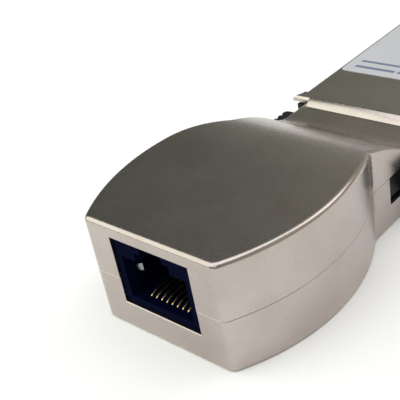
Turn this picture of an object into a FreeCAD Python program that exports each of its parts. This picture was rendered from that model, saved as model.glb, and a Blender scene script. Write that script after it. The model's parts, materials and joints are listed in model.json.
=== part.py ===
"""Copper network transceiver module: a cast head with a modular jack, a latching neck and a slim rear body.

All sizes are millimetres. The pieces are modelled from the front face of the head, y growing towards the
rear connector, z up from the resting face, x to the right seen from the front. On export everything moves
back by half the overall length, so the origin lies under the middle of the module.
"""
import FreeCAD, Part
import math
import os

Vector = FreeCAD.Vector

# Jack window in the front face
WINDOW_WIDTH = 14.6
WINDOW_HEIGHT = 11.4
WINDOW_SILL_Z = 4.6
WINDOW_CHAMFER = 0.12

# Head castings
FRONT_CHEEK = 4.75           # front face left and right of the window
HEAD_SIDE_RADIUS = 33.4      # plan radius of each bulging side wall
HEAD_WIDEST_Y = 18.2         # where the bulge is widest, behind the front face
HEAD_CORNER_RADIUS = 1.6     # upright corners of the front face
HEAD_EDGE_RADIUS = 0.5       # rounded rim of the roof
BASE_CHAMFER = 0.3           # broken edge round the resting face
CROWN_ROOM = 0.4             # between the window's top and the inside of the roof
CASTING_WALL = 1.6
FRONT_WALL = 2.0
FLOOR = 1.2
PARTING_Z = 8.85             # plane where the two castings meet
PARTING_GROOVE = 0.09

# Neck with the roof's ramp
NECK_STEP = 1.35             # neck's side inside the body's side
NECK_PLATE = 0.55            # upper casting above the parting plane at the neck
NECK_CORNER_RADIUS = 3.0     # hollow corner where the bulge runs into the neck
RAMP_RADIUS = 38.0
RAMP_FOOT_RADIUS = 8.0
RAMP_FOOT_TO_COLLAR = 5.3
TUCK_LENGTH = 3.0            # castings reaching in under the cover

# Side latches
LATCH_SETBACK = 6.6          # pivot behind the start of the neck
PIVOT_TO_COLLAR = 14.0
PIVOT_INSET = 2.0            # pivot inside the neck's side face
PIVOT_PIN_RADIUS = 0.6
PIN_SEAT_DEPTH = 2.4
PIN_END_CLEARANCE = 0.05     # pin below the upper casting, which traps it
PIN_SEAT_CLEARANCE = 0.02
PIN_RUNNING_CLEARANCE = 0.05
LATCH_EYE_RADIUS = 1.3
LATCH_HEIGHT = 4.3
LATCH_ARM = 1.2              # arm thickness
LATCH_CLEARANCE = 0.3        # above, below and in front of the lever
LATCH_POCKET_WALL = 0.8
LATCH_TRAVEL_DEG = 4.5       # squeeze from rest to the stop
PAD_FROM_PIVOT = 2.7
PAD_LENGTH = 8.8
PAD_PROUD = 2.7              # pad beyond the neck's side face
PAD_CORNER_RADIUS = 0.8
GRIP_PITCH = 1.4
GRIP_WIDTH = 0.6
GRIP_DEPTH = 0.35
GRIP_COUNT = 5
HOOK_BEHIND_COLLAR = 0.6
HOOK_LAND = 0.9              # flat tip of the hook
HOOK_LENGTH = 3.4
HOOK_PROUD = 0.95            # hook beyond the body's side
SPRING_SHEET = 0.2
SPRING_FROM_PIVOT = 4.6
SPRING_LENGTH = 7.2
SPRING_WIDTH = 3.2
SPRING_GAP = 0.05

# Rear body and its folded cover
BODY_LENGTH = 52.0
BODY_WIDTH = 29.3
COLLAR_STEP = 1.1            # cover top above the neck
COVER_SHEET = 0.5
COVER_BEND_RADIUS = 0.9
COVER_FIT = 0.05
COVER_LIP = 1.1              # depth of the rolled front lip
COVER_LIP_RADIUS = 0.7
EAR_PROUD = 1.3              # flared front corners of the cover
EAR_LENGTH = 2.2
TRAY_WALL = 1.2
TRAY_WALL_SETBACK = 5.6      # tray walls start behind the latch hooks
SNAP_LENGTH = 3.0
SNAP_HEIGHT = 1.6
SNAP_PROUD = 0.4
SNAP_CLEARANCE = 0.2
SNAP_Z = 5.2
SNAP_FROM_COLLAR = 16.0
SNAP_FROM_REAR = 12.0

# Blank label on the cover
LABEL_FROM_COLLAR = 12.6
LABEL_LENGTH = 33.0
LABEL_MARGIN = 1.0
LABEL_FILM = 0.1
LABEL_CORNER_RADIUS = 1.0

# Modular jack
JACK_RECESS = 0.4            # jack face behind the front face
JACK_FIT = 0.1
JACK_DEPTH = 15.5
JACK_LIP = 1.4               # plastic below the plug opening
PLUG_WIDTH = 11.9
PLUG_HEIGHT = 7.0
PLUG_DEPTH = 13.5
KEY_WIDTH = 6.4
KEY_HEIGHT = 1.4
CLIP_WIDTH = 4.1
SHIELD_SHEET = 0.25
SHIELD_BEHIND_WALL = 0.2
GROUND_TAB_WIDTH = 1.2
GROUND_TAB_LENGTH = 2.0
GROUND_TAB_SETBACK = 2.0
GROUND_TAB_Z = 9.2
GROUND_TAB_PROUD = 0.2
GROUND_TAB_CLEARANCE = 0.2

# Jack contacts
CONTACT_COUNT = 8
CONTACT_PITCH = 1.016
CONTACT_WIDTH = 0.4
CONTACT_SHEET = 0.35
CONTACT_BEND_RADIUS = 0.35
CONTACT_SETBACK = 1.3        # bend behind the jack face
CONTACT_STEEP_DEG = 40.0     # rise of the arm as it leaves the bend
CONTACT_STRAIGHT = 0.7       # between the bend and the crest
CONTACT_CREST_RADIUS = 2.2   # where the arm flattens
CONTACT_RISE_DEG = 12.0      # rise of the arm behind the crest
CONTACT_REACH = 7.0
CONTACT_SLOT_CLEARANCE = 0.08
CONTACT_SEAT = 0.3           # plastic under the contacts
CONTACT_TAIL_RUN = 1.2
CONTACT_FOOT = 1.0

# Circuit board and what it carries
BOARD_SHEET = 1.2
BOARD_CLEARANCE = 0.3
BOARD_HEAD_WIDTH = 19.6
POST_RADIUS = 1.5
HEAD_RIB_X = 8.2             # ribs that carry the board behind the front wall
HEAD_RIB_WIDTH = 1.8
HEAD_RIB_LENGTH = 5.0
BODY_POST_INSET = 3.3        # board screws inside the tray's walls
BODY_POST_FROM_COLLAR = 9.2
MAGNETICS_WIDTH = 16.0
MAGNETICS_LENGTH = 12.0
MAGNETICS_HEIGHT = 5.9
MAGNETICS_GAP = 1.4
CHIP_CHAMFER = 0.3
PHY_SIDE = 15.0
PHY_HEIGHT = 1.6
PHY_FROM_COLLAR = 14.0
REGULATOR_LENGTH = 6.5
REGULATOR_WIDTH = 3.5
REGULATOR_HEIGHT = 1.7
MEMORY_LENGTH = 5.0
MEMORY_WIDTH = 4.0
MEMORY_HEIGHT = 1.5
CRYSTAL_LENGTH = 5.0
CRYSTAL_WIDTH = 3.2
CRYSTAL_HEIGHT = 1.2
CAPACITOR_LENGTH = 3.5
CAPACITOR_WIDTH = 2.8
CAPACITOR_HEIGHT = 1.9
CAPACITOR_COUNT = 4
PART_GAP = 1.2               # between neighbouring parts on the board

# Rear connector
CONNECTOR_CLEARANCE = 0.7    # between the connector and the tray's walls
CONNECTOR_SEAT = 0.1         # connector above the tray's floor
CONNECTOR_DEPTH = 9.0
CONNECTOR_RECESS = 0.5
CONNECTOR_WALL = 0.9
CONNECTOR_KEY = 1.6          # sloped ends of the socket
TONGUE_SETBACK = 1.2
TONGUE_WIDTH = 15.0
BLADE_COUNT = 10
BLADE_PITCH = 1.27
BLADE_WIDTH = 0.6
BLADE_SHEET = 0.2
BLADE_TAIL = 1.8
BLADE_TIP_SETBACK = 0.6
GROUND_BLADE_SHEET = 0.5
GROUND_BLADE_HEIGHT = 2.6

# Screws from below and on the board
SCREW_SHANK_RADIUS = 0.8
SCREW_HEAD_RADIUS = 1.55
SCREW_HEAD_HEIGHT = 1.1
SCREW_SINK = 0.2             # head below the resting face
SCREW_CLEARANCE = 0.15
SCREW_THREAD_CLEARANCE = 0.02
SCREW_GRIP = 5.0             # thread inside the upper casting
SCREW_BOSS = 4.0             # square boss grown out of the side wall
SCREW_X = 12.3
SCREW_Y = 10.0               # the cover's collar holds the castings at the rear
DRIVE_SLOT = 0.4
DRIVE_REACH = 0.93           # arms of the cross recess
BOARD_SCREW_GRIP = 1.6
BOARD_SCREW_HEAD_HEIGHT = 0.8

# Sizes that follow from those above
WINDOW_HALF = WINDOW_WIDTH / 2
WINDOW_TOP_Z = WINDOW_SILL_Z + WINDOW_HEIGHT
HEAD_FRONT_HALF = WINDOW_HALF + FRONT_CHEEK
ROOF_INSIDE_Z = WINDOW_TOP_Z + CROWN_ROOM
HEAD_HEIGHT = ROOF_INSIDE_Z + CASTING_WALL
SIDE_CENTRE_X = HEAD_FRONT_HALF - math.sqrt(HEAD_SIDE_RADIUS ** 2 - HEAD_WIDEST_Y ** 2)
BODY_HALF = BODY_WIDTH / 2
NECK_HALF = BODY_HALF - NECK_STEP
NECK_TOP_Z = PARTING_Z + NECK_PLATE
NECK_START_Y = HEAD_WIDEST_Y + math.sqrt(HEAD_SIDE_RADIUS ** 2 - (NECK_HALF - SIDE_CENTRE_X) ** 2)
PIVOT_X = NECK_HALF - PIVOT_INSET
ARM_OUTSIDE_X = PIVOT_X + LATCH_EYE_RADIUS
ARM_INSIDE_X = ARM_OUTSIDE_X - LATCH_ARM
PIVOT_Y = NECK_START_Y + LATCH_SETBACK
COLLAR_Y = PIVOT_Y + PIVOT_TO_COLLAR
TUCK_Y = COLLAR_Y + TUCK_LENGTH
ARM_SQUEEZED_X = ARM_INSIDE_X - (TUCK_Y - PIVOT_Y) * math.sin(math.radians(LATCH_TRAVEL_DEG))
POCKET_INSIDE_X = min(ARM_SQUEEZED_X, PIVOT_X - LATCH_EYE_RADIUS) - LATCH_CLEARANCE
NECK_INSIDE_HALF = POCKET_INSIDE_X - LATCH_POCKET_WALL
REAR_Y = COLLAR_Y + BODY_LENGTH
RAMP_FOOT_Y = COLLAR_Y - RAMP_FOOT_TO_COLLAR
RAMP_CENTRE_Z = HEAD_HEIGHT - RAMP_RADIUS
RAMP_RISE = NECK_TOP_Z + RAMP_FOOT_RADIUS - RAMP_CENTRE_Z
RAMP_START_Y = RAMP_FOOT_Y - math.sqrt((RAMP_RADIUS + RAMP_FOOT_RADIUS) ** 2 - RAMP_RISE ** 2)
COVER_TOP_Z = NECK_TOP_Z + COLLAR_STEP
COVER_INSIDE_Z = COVER_TOP_Z - COVER_SHEET
TRAY_HALF = BODY_HALF - COVER_SHEET - COVER_FIT
TRAY_INSIDE_HALF = TRAY_HALF - TRAY_WALL
JACK_HALF = WINDOW_HALF - JACK_FIT
JACK_BOTTOM_Z = WINDOW_SILL_Z + JACK_FIT
JACK_TOP_Z = WINDOW_TOP_Z - JACK_FIT
JACK_REAR_Y = JACK_RECESS + JACK_DEPTH
PLUG_FLOOR_Z = WINDOW_SILL_Z + JACK_LIP
PLUG_ROOF_Z = PLUG_FLOOR_Z + PLUG_HEIGHT
BOARD_TOP_Z = JACK_BOTTOM_Z
BOARD_BOTTOM_Z = BOARD_TOP_Z - BOARD_SHEET
LATCH_TOP_Z = PARTING_Z - LATCH_CLEARANCE
LATCH_BOTTOM_Z = LATCH_TOP_Z - LATCH_HEIGHT
POCKET_FLOOR_Z = LATCH_BOTTOM_Z - LATCH_CLEARANCE
POCKET_END_Y = COLLAR_Y + HOOK_BEHIND_COLLAR + HOOK_LENGTH + LATCH_CLEARANCE
CONNECTOR_HALF = TRAY_INSIDE_HALF - CONNECTOR_CLEARANCE
CONNECTOR_FACE_Y = REAR_Y - CONNECTOR_RECESS
CONNECTOR_FRONT_Y = CONNECTOR_FACE_Y - CONNECTOR_DEPTH
BOARD_MIDDLE_Z = BOARD_TOP_Z - BOARD_SHEET / 2
CONNECTOR_BOTTOM_Z = FLOOR + CONNECTOR_SEAT
CONNECTOR_TOP_Z = 2 * BOARD_MIDDLE_Z - CONNECTOR_BOTTOM_Z
SCREW_PLACES = [(side * SCREW_X, SCREW_Y) for side in (-1, 1)]
BODY_POST_X = TRAY_INSIDE_HALF - BODY_POST_INSET
BOARD_SCREW_PLACES = [(side * BODY_POST_X, COLLAR_Y + BODY_POST_FROM_COLLAR) for side in (-1, 1)]
FAR = 200.0                  # reach of cutting tools beyond the part
MITRED = 1                   # sweep option: sharp corners of the path stay sharp


# Shared shapes

def block(half_width, y_range, z_range):
    """A box centred on the module's middle plane."""
    corner = Vector(-half_width, y_range[0], z_range[0])
    return Part.makeBox(2 * half_width, y_range[1] - y_range[0], z_range[1] - z_range[0], corner)


def side_block(x_range, y_range, z_range):
    """A box anywhere, given by its extents."""
    corner = Vector(x_range[0], y_range[0], z_range[0])
    return Part.makeBox(x_range[1] - x_range[0], y_range[1] - y_range[0], z_range[1] - z_range[0], corner)


def upright(radius, place, z_range):
    """A vertical cylinder at an (x, y) place."""
    return Part.makeCylinder(radius, z_range[1] - z_range[0], Vector(place[0], place[1], z_range[0]))


def mirrored(shape):
    """The same shape on the other side of the middle plane."""
    return shape.mirror(Vector(0, 0, 0), Vector(1, 0, 0))


def both_sides(shape):
    """A shape and its mirror image, as a list."""
    return [shape, mirrored(shape)]


def upright_edges(shape, x, y):
    """The vertical edges of a shape that stand at +-x, y."""
    found = []
    for edge in shape.Edges:
        box = edge.BoundBox
        is_upright = box.XLength < 1e-4 and box.YLength < 1e-4
        if is_upright and abs(abs(box.XMin) - x) < 1e-4 and abs(box.YMin - y) < 1e-4:
            found.append(edge)
    return found


def rounded_path(points, radii):
    """A wire through points, with a radius for each inner corner."""
    edges = []
    start = points[0]
    for before, corner, after, radius in zip(points, points[1:], points[2:], radii):
        back = (before - corner).normalize()
        ahead = (after - corner).normalize()
        half = back.getAngle(ahead) / 2
        tangent = radius / math.tan(half)
        middle = (back + ahead).normalize()
        arc_middle = corner + middle * (radius / math.sin(half) - radius)
        arc_end = corner + ahead * tangent
        edges.append(Part.LineSegment(start, corner + back * tangent).toShape())
        edges.append(Part.Arc(corner + back * tangent, arc_middle, arc_end).toShape())
        start = arc_end
    edges.append(Part.LineSegment(start, points[-1]).toShape())
    return Part.Wire(edges)


def chip(size, place, bottom_z):
    """A moulded package with a chamfered top rim: size (x, y, z) around an (x, y) place."""
    corner = Vector(place[0] - size[0] / 2, place[1] - size[1] / 2, bottom_z)
    body = Part.makeBox(size[0], size[1], size[2], corner)
    top = max(body.Faces, key=lambda face: face.CenterOfMass.z)
    return body.makeChamfer(CHIP_CHAMFER, top.Edges)


# Outlines of the castings

def casting_plan(front_y, side_radius, neck_half, rear_y):
    """Plan outline: flat front, two bulging sides about the shared centres, straight neck."""
    front_half = SIDE_CENTRE_X + math.sqrt(side_radius ** 2 - (HEAD_WIDEST_Y - front_y) ** 2)
    join_y = HEAD_WIDEST_Y + math.sqrt(side_radius ** 2 - (neck_half - SIDE_CENTRE_X) ** 2)
    widest = SIDE_CENTRE_X + side_radius
    right = [Vector(front_half, front_y), Vector(widest, HEAD_WIDEST_Y), Vector(neck_half, join_y)]
    left = [Vector(-p.x, p.y) for p in reversed(right)]
    rear_right = Vector(neck_half, rear_y)
    rear_left = Vector(-neck_half, rear_y)
    edges = [
        Part.Arc(*right).toShape(),
        Part.LineSegment(right[2], rear_right).toShape(),
        Part.LineSegment(rear_right, rear_left).toShape(),
        Part.LineSegment(rear_left, left[0]).toShape(),
        Part.Arc(*left).toShape(),
        Part.LineSegment(left[2], right[0]).toShape(),
    ]
    return Part.Face(Part.Wire(edges))


def prism(face, z_range):
    """A plan face raised between two heights."""
    lifted = face.copy()
    lifted.translate(Vector(0, 0, z_range[0]))
    return lifted.extrude(Vector(0, 0, z_range[1] - z_range[0]))


def outer_block(z_range):
    """Head and neck as one upright block with its corners rounded."""
    body = prism(casting_plan(0, HEAD_SIDE_RADIUS, NECK_HALF, COLLAR_Y), z_range)
    body = body.makeFillet(HEAD_CORNER_RADIUS, upright_edges(body, HEAD_FRONT_HALF, 0))
    return body.makeFillet(NECK_CORNER_RADIUS, upright_edges(body, NECK_HALF, NECK_START_Y))


def inner_block(z_range):
    """The hollow inside head and neck."""
    plan = casting_plan(FRONT_WALL, HEAD_SIDE_RADIUS - CASTING_WALL, NECK_INSIDE_HALF, TUCK_Y + 1)
    return prism(plan, z_range)


def ramp_profile():
    """Side view of the upper casting's outside: flat roof, convex ramp, hollow foot, flat neck."""
    centre = Vector(0, RAMP_START_Y, RAMP_CENTRE_Z)
    foot_centre = Vector(0, RAMP_FOOT_Y, NECK_TOP_Z + RAMP_FOOT_RADIUS)
    towards_foot = (foot_centre - centre).normalize()
    halfway = (towards_foot + Vector(0, 0, 1)).normalize()
    touch = centre + towards_foot * RAMP_RADIUS
    foot_halfway = (-towards_foot + Vector(0, 0, -1)).normalize()
    foot = Vector(0, RAMP_FOOT_Y, NECK_TOP_Z)
    front = Vector(0, 0, HEAD_HEIGHT)
    ramp_top = Vector(0, RAMP_START_Y, HEAD_HEIGHT)
    rear = Vector(0, COLLAR_Y, NECK_TOP_Z)
    rear_low = Vector(0, COLLAR_Y, PARTING_Z)
    front_low = Vector(0, 0, PARTING_Z)
    edges = [
        Part.LineSegment(front, ramp_top).toShape(),
        Part.Arc(ramp_top, centre + halfway * RAMP_RADIUS, touch).toShape(),
        Part.Arc(touch, foot_centre + foot_halfway * RAMP_FOOT_RADIUS, foot).toShape(),
        Part.LineSegment(foot, rear).toShape(),
        Part.LineSegment(rear, rear_low).toShape(),
        Part.LineSegment(rear_low, front_low).toShape(),
        Part.LineSegment(front_low, front).toShape(),
    ]
    return Part.Face(Part.Wire(edges))


def under_ramp():
    """Everything that lies a wall's thickness below the roof and the ramp."""
    flat = block(FAR, (0, RAMP_START_Y), (0, ROOF_INSIDE_Z))
    centre = Vector(-FAR, RAMP_START_Y, RAMP_CENTRE_Z)
    barrel = Part.makeCylinder(RAMP_RADIUS - CASTING_WALL, 2 * FAR, centre, Vector(1, 0, 0))
    return flat.fuse(barrel)


def rim_edges(shape):
    """The edges round the roof, ramp and neck, apart from the seams across them and the rear end."""
    found = []
    for edge in shape.Edges:
        box = edge.BoundBox
        rises_from_parting = box.ZMin < PARTING_Z + 1e-4
        across = box.YLength < 1e-4 and box.YMin > 1e-4
        if not rises_from_parting and not across:
            found.append(edge)
    return found


def level_edges(shape, z):
    """The edges that lie at one height, apart from the rear end."""
    return [
        edge for edge in shape.Edges
        if abs(edge.BoundBox.ZMin - z) < 1e-4 and edge.BoundBox.ZLength < 1e-4
        and edge.BoundBox.YMin < COLLAR_Y - 1e-4
    ]


def window_tool():
    """The jack window through the front wall, with a chamfered mouth."""
    hole = block(WINDOW_HALF, (-1, FRONT_WALL + 1), (WINDOW_SILL_Z, WINDOW_TOP_Z))

    def frame(growth, y):
        half = WINDOW_HALF + growth
        low = WINDOW_SILL_Z - growth
        high = WINDOW_TOP_Z + growth
        corners = [(-half, low), (half, low), (half, high), (-half, high), (-half, low)]
        return Part.makePolygon([Vector(x, y, z) for x, z in corners])

    mouth = Part.makeLoft([frame(WINDOW_CHAMFER, 0), frame(0, WINDOW_CHAMFER)], True)
    return hole.fuse(mouth)


def latch_pocket():
    """The right-hand pocket in the neck's side that the lever swings in."""
    front_y = PIVOT_Y - LATCH_EYE_RADIUS - LATCH_CLEARANCE
    return side_block((POCKET_INSIDE_X, FAR), (front_y, POCKET_END_Y), (POCKET_FLOOR_Z, PARTING_Z))


def pin_seat():
    """The right-hand blind hole under the pocket that holds the pivot pin."""
    depth = (POCKET_FLOOR_Z - PIN_SEAT_DEPTH, PARTING_Z)
    return upright(PIVOT_PIN_RADIUS + PIN_SEAT_CLEARANCE, (PIVOT_X, PIVOT_Y), depth)


def screw_boss(z_range):
    """The right-hand square boss round a housing screw, running out into the side wall."""
    half = SCREW_BOSS / 2
    return side_block((SCREW_X - half, FAR), (SCREW_Y - half, SCREW_Y + half), z_range)


# Castings

def lower_housing():
    """Lower casting: half the head, the neck with the latch pockets, and the rear tray."""
    outer = outer_block((0, PARTING_Z))
    outer = outer.makeChamfer(BASE_CHAMFER, level_edges(outer, 0))
    outer = outer.makeChamfer(PARTING_GROOVE, level_edges(outer, PARTING_Z))
    tuck = block(TRAY_HALF, (COLLAR_Y, TUCK_Y), (0, PARTING_Z))
    floor = block(BODY_HALF, (COLLAR_Y, REAR_Y), (0, FLOOR))
    shell = outer.fuse([tuck, floor]).cut(inner_block((FLOOR, PARTING_Z + 1)))
    walls_y = (COLLAR_Y + TRAY_WALL_SETBACK, REAR_Y - COVER_SHEET - COVER_FIT)
    wall_top = COVER_TOP_Z - COVER_BEND_RADIUS - COVER_FIT
    wall = side_block((TRAY_INSIDE_HALF, TRAY_HALF), walls_y, (0, wall_top))
    added = both_sides(wall)
    for snap_y in snap_places():
        added += both_sides(snap_bump(snap_y))
    added += [outer.common(boss) for boss in both_sides(screw_boss((0, PARTING_Z)))]
    rib_x = (HEAD_RIB_X - HEAD_RIB_WIDTH / 2, HEAD_RIB_X + HEAD_RIB_WIDTH / 2)
    rib_y = (FRONT_WALL / 2, FRONT_WALL + HEAD_RIB_LENGTH)
    added += both_sides(side_block(rib_x, rib_y, (FLOOR / 2, BOARD_BOTTOM_Z)))
    for place in BOARD_SCREW_PLACES:
        added.append(upright(POST_RADIUS, place, (0, BOARD_BOTTOM_Z)))
    cuts = [window_tool()] + both_sides(latch_pocket()) + both_sides(pin_seat())
    head_top = SCREW_SINK + SCREW_HEAD_HEIGHT
    for place in SCREW_PLACES:
        cuts.append(upright(SCREW_SHANK_RADIUS + SCREW_CLEARANCE, place, (-1, PARTING_Z + 1)))
        cuts.append(upright(SCREW_HEAD_RADIUS + SCREW_CLEARANCE, place, (-1, head_top)))
    for place in BOARD_SCREW_PLACES:
        hole_z = (BOARD_BOTTOM_Z - BOARD_SCREW_GRIP, BOARD_BOTTOM_Z + 1)
        cuts.append(upright(SCREW_SHANK_RADIUS + SCREW_THREAD_CLEARANCE, place, hole_z))
    return shell.fuse(added).cut(cuts).removeSplitter()


def upper_housing():
    """Upper casting: the domed half of the head, its ramp and the thin plate over the neck."""
    profile = ramp_profile()
    profile.translate(Vector(-FAR, 0, 0))
    outer = outer_block((PARTING_Z, HEAD_HEIGHT)).common(profile.extrude(Vector(2 * FAR, 0, 0)))
    outer = outer.removeSplitter()
    outer = outer.makeFillet(HEAD_EDGE_RADIUS, rim_edges(outer))
    tuck = block(TRAY_HALF, (COLLAR_Y, TUCK_Y), (PARTING_Z, NECK_TOP_Z))
    hollow = inner_block((PARTING_Z - 1, HEAD_HEIGHT)).common(under_ramp())
    shell = outer.fuse(tuck).cut(hollow)
    boss = screw_boss((PARTING_Z, ROOF_INSIDE_Z + CASTING_WALL / 2))
    bosses = [outer.common(one) for one in both_sides(boss)]
    cuts = [window_tool()]
    for place in SCREW_PLACES:
        hole_z = (PARTING_Z - 1, PARTING_Z + SCREW_GRIP + SCREW_CLEARANCE)
        cuts.append(upright(SCREW_SHANK_RADIUS + SCREW_THREAD_CLEARANCE, place, hole_z))
    return shell.fuse(bosses).cut(cuts).removeSplitter()


# Rear body

def snap_places():
    """Where along the body the cover snaps over the tray."""
    return [COLLAR_Y + SNAP_FROM_COLLAR, REAR_Y - SNAP_FROM_REAR]


def snap_bump(y):
    """One right-hand bump on the tray's wall."""
    z_range = (SNAP_Z - SNAP_HEIGHT / 2, SNAP_Z + SNAP_HEIGHT / 2)
    bump = side_block((TRAY_HALF - TRAY_WALL / 2, TRAY_HALF + SNAP_PROUD), (y, y + SNAP_LENGTH), z_range)
    return bump


def snap_window(y):
    """The right-hand window in the cover's wall for one bump."""
    grown = SNAP_CLEARANCE
    z_range = (SNAP_Z - SNAP_HEIGHT / 2 - grown, SNAP_Z + SNAP_HEIGHT / 2 + grown)
    return side_block((TRAY_HALF - TRAY_WALL / 2, FAR), (y - grown, y + SNAP_LENGTH + grown), z_range)


def cover_section(half, top_z, radius):
    """Cross-section of the cover's outside or inside, down past the skirt."""
    low = FLOOR + COVER_FIT
    corners = [Vector(-half, 0, low), Vector(-half, 0, top_z), Vector(half, 0, top_z), Vector(half, 0, low)]
    wire = rounded_path(corners, [radius] * (len(corners) - 2))
    base = Part.LineSegment(corners[-1], corners[0]).toShape()
    return Part.Face(Part.Wire(wire.Edges + [base]))


def cover_roof_plan():
    """Plan of the cover's roof: straight sides that flare into an ear at each front corner."""
    ear = BODY_HALF + EAR_PROUD
    swing = (EAR_LENGTH ** 2 + EAR_PROUD ** 2) / (2 * EAR_PROUD)
    half_turn = math.asin(EAR_LENGTH / swing) / 2
    flare_middle = Vector(
        BODY_HALF + swing - swing * math.cos(half_turn),
        COLLAR_Y + EAR_LENGTH - swing * math.sin(half_turn),
    )
    tip = Vector(ear, COLLAR_Y)
    flare_end = Vector(BODY_HALF, COLLAR_Y + EAR_LENGTH)
    left = [Vector(-p.x, p.y) for p in (flare_end, flare_middle, tip)]
    edges = [
        Part.Arc(tip, flare_middle, flare_end).toShape(),
        Part.LineSegment(flare_end, left[0]).toShape(),
        Part.Arc(*left).toShape(),
        Part.LineSegment(left[2], tip).toShape(),
    ]
    return Part.Face(Part.Wire(edges))


def body_cover():
    """Folded sheet cover with a rolled, flared front lip and a rear flange above the connector."""
    outside = cover_section(BODY_HALF, COVER_TOP_Z, COVER_BEND_RADIUS)
    inside = cover_section(BODY_HALF - COVER_SHEET, COVER_INSIDE_Z, COVER_BEND_RADIUS - COVER_SHEET)
    length = Vector(0, BODY_LENGTH, 0)
    channel = outside.extrude(length).cut(inside.extrude(length))
    channel.translate(Vector(0, COLLAR_Y, 0))
    ears = prism(cover_roof_plan(), (COVER_INSIDE_Z, COVER_TOP_Z))
    lip_z = (NECK_TOP_Z + COVER_FIT, COVER_TOP_Z)
    lip = block(BODY_HALF + EAR_PROUD, (COLLAR_Y, COLLAR_Y + COVER_LIP), lip_z)
    lip = lip.common(prism(cover_roof_plan(), lip_z))
    flange_y = (REAR_Y - COVER_SHEET, REAR_Y)
    flange_z = (CONNECTOR_TOP_Z + BOARD_CLEARANCE, COVER_INSIDE_Z)
    flange = block(BODY_HALF - COVER_SHEET, flange_y, flange_z)
    cover = channel.fuse([ears, lip, flange]).removeSplitter()
    front_top = [
        edge for edge in cover.Edges
        if edge.BoundBox.YMax < COLLAR_Y + 1e-4 and edge.BoundBox.ZMin > COVER_TOP_Z - 1e-4
    ]
    cover = cover.makeFillet(COVER_LIP_RADIUS, front_top)
    notch_z = (POCKET_FLOOR_Z - LATCH_CLEARANCE, NECK_TOP_Z)
    notch = side_block((POCKET_INSIDE_X, FAR), (COLLAR_Y - 1, POCKET_END_Y), notch_z)
    cuts = both_sides(notch)
    for snap_y in snap_places():
        cuts += both_sides(snap_window(snap_y))
    return cover.cut(cuts)


def label():
    """Blank film label on the cover's roof."""
    start_y = COLLAR_Y + LABEL_FROM_COLLAR
    z_range = (COVER_TOP_Z, COVER_TOP_Z + LABEL_FILM)
    film = block(BODY_HALF - LABEL_MARGIN, (start_y, start_y + LABEL_LENGTH), z_range)
    corners = [edge for edge in film.Edges if edge.BoundBox.ZLength > LABEL_FILM / 2]
    return film.makeFillet(LABEL_CORNER_RADIUS, corners)


# Side latches

def latch():
    """Right-hand lever: pivot eye, arm, ribbed squeeze pad and a hook with a sloped back."""
    z_range = (LATCH_BOTTOM_Z, LATCH_TOP_Z)
    tail_y = COLLAR_Y + HOOK_BEHIND_COLLAR + HOOK_LENGTH
    eye = upright(LATCH_EYE_RADIUS, (PIVOT_X, PIVOT_Y), z_range)
    arm = side_block((ARM_INSIDE_X, ARM_OUTSIDE_X), (PIVOT_Y, tail_y), z_range)
    pad_y = (PIVOT_Y + PAD_FROM_PIVOT, PIVOT_Y + PAD_FROM_PIVOT + PAD_LENGTH)
    pad_x = NECK_HALF + PAD_PROUD
    pad = side_block((ARM_INSIDE_X, pad_x), pad_y, z_range)
    rounded = upright_edges(pad, pad_x, pad_y[0]) + upright_edges(pad, pad_x, pad_y[1])
    pad = pad.makeFillet(PAD_CORNER_RADIUS, rounded)
    hook_x = BODY_HALF + HOOK_PROUD
    hook_y = COLLAR_Y + HOOK_BEHIND_COLLAR
    outline = [
        Vector(ARM_INSIDE_X, hook_y, LATCH_BOTTOM_Z),
        Vector(hook_x, hook_y, LATCH_BOTTOM_Z),
        Vector(hook_x, hook_y + HOOK_LAND, LATCH_BOTTOM_Z),
        Vector(ARM_OUTSIDE_X, tail_y, LATCH_BOTTOM_Z),
        Vector(ARM_INSIDE_X, tail_y, LATCH_BOTTOM_Z),
    ]
    hook = Part.Face(Part.makePolygon(outline + outline[:1])).extrude(Vector(0, 0, LATCH_HEIGHT))
    lever = eye.fuse([arm, pad, hook]).removeSplitter()
    grooves = []
    first_y = (pad_y[0] + pad_y[1]) / 2 - GRIP_PITCH * (GRIP_COUNT - 1) / 2
    for index in range(GRIP_COUNT):
        y = first_y + index * GRIP_PITCH
        groove_y = (y - GRIP_WIDTH / 2, y + GRIP_WIDTH / 2)
        grooves.append(side_block((pad_x - GRIP_DEPTH, FAR), groove_y, (0, PARTING_Z)))
    bore = upright(PIVOT_PIN_RADIUS + PIN_RUNNING_CLEARANCE, (PIVOT_X, PIVOT_Y), (0, PARTING_Z))
    return lever.cut(grooves + [bore])


def latch_pin():
    """Right-hand pivot pin, seated in the lower casting and trapped by the upper one."""
    depth = (POCKET_FLOOR_Z - PIN_SEAT_DEPTH, PARTING_Z - PIN_END_CLEARANCE)
    return upright(PIVOT_PIN_RADIUS, (PIVOT_X, PIVOT_Y), depth)


def latch_spring():
    """Right-hand bowed leaf spring between the pocket's wall and the lever's arm."""
    wall_x = POCKET_INSIDE_X + SPRING_GAP
    arm_x = ARM_INSIDE_X - SPRING_GAP
    rise = arm_x - wall_x
    radius = (SPRING_LENGTH ** 2 / 4 + rise ** 2) / (2 * rise)
    middle_y = PIVOT_Y + SPRING_FROM_PIVOT + SPRING_LENGTH / 2
    middle_z = (LATCH_TOP_Z + LATCH_BOTTOM_Z) / 2
    z_range = (middle_z - SPRING_WIDTH / 2, middle_z + SPRING_WIDTH / 2)
    centre = (arm_x - radius, middle_y)
    ring = upright(radius, centre, z_range).cut(upright(radius - SPRING_SHEET, centre, z_range))
    return ring.common(side_block((wall_x, FAR), (0, FAR), z_range))


# Modular jack

def contact_places():
    """The x places of the jack's contacts."""
    return [(index - (CONTACT_COUNT - 1) / 2) * CONTACT_PITCH for index in range(CONTACT_COUNT)]


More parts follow.
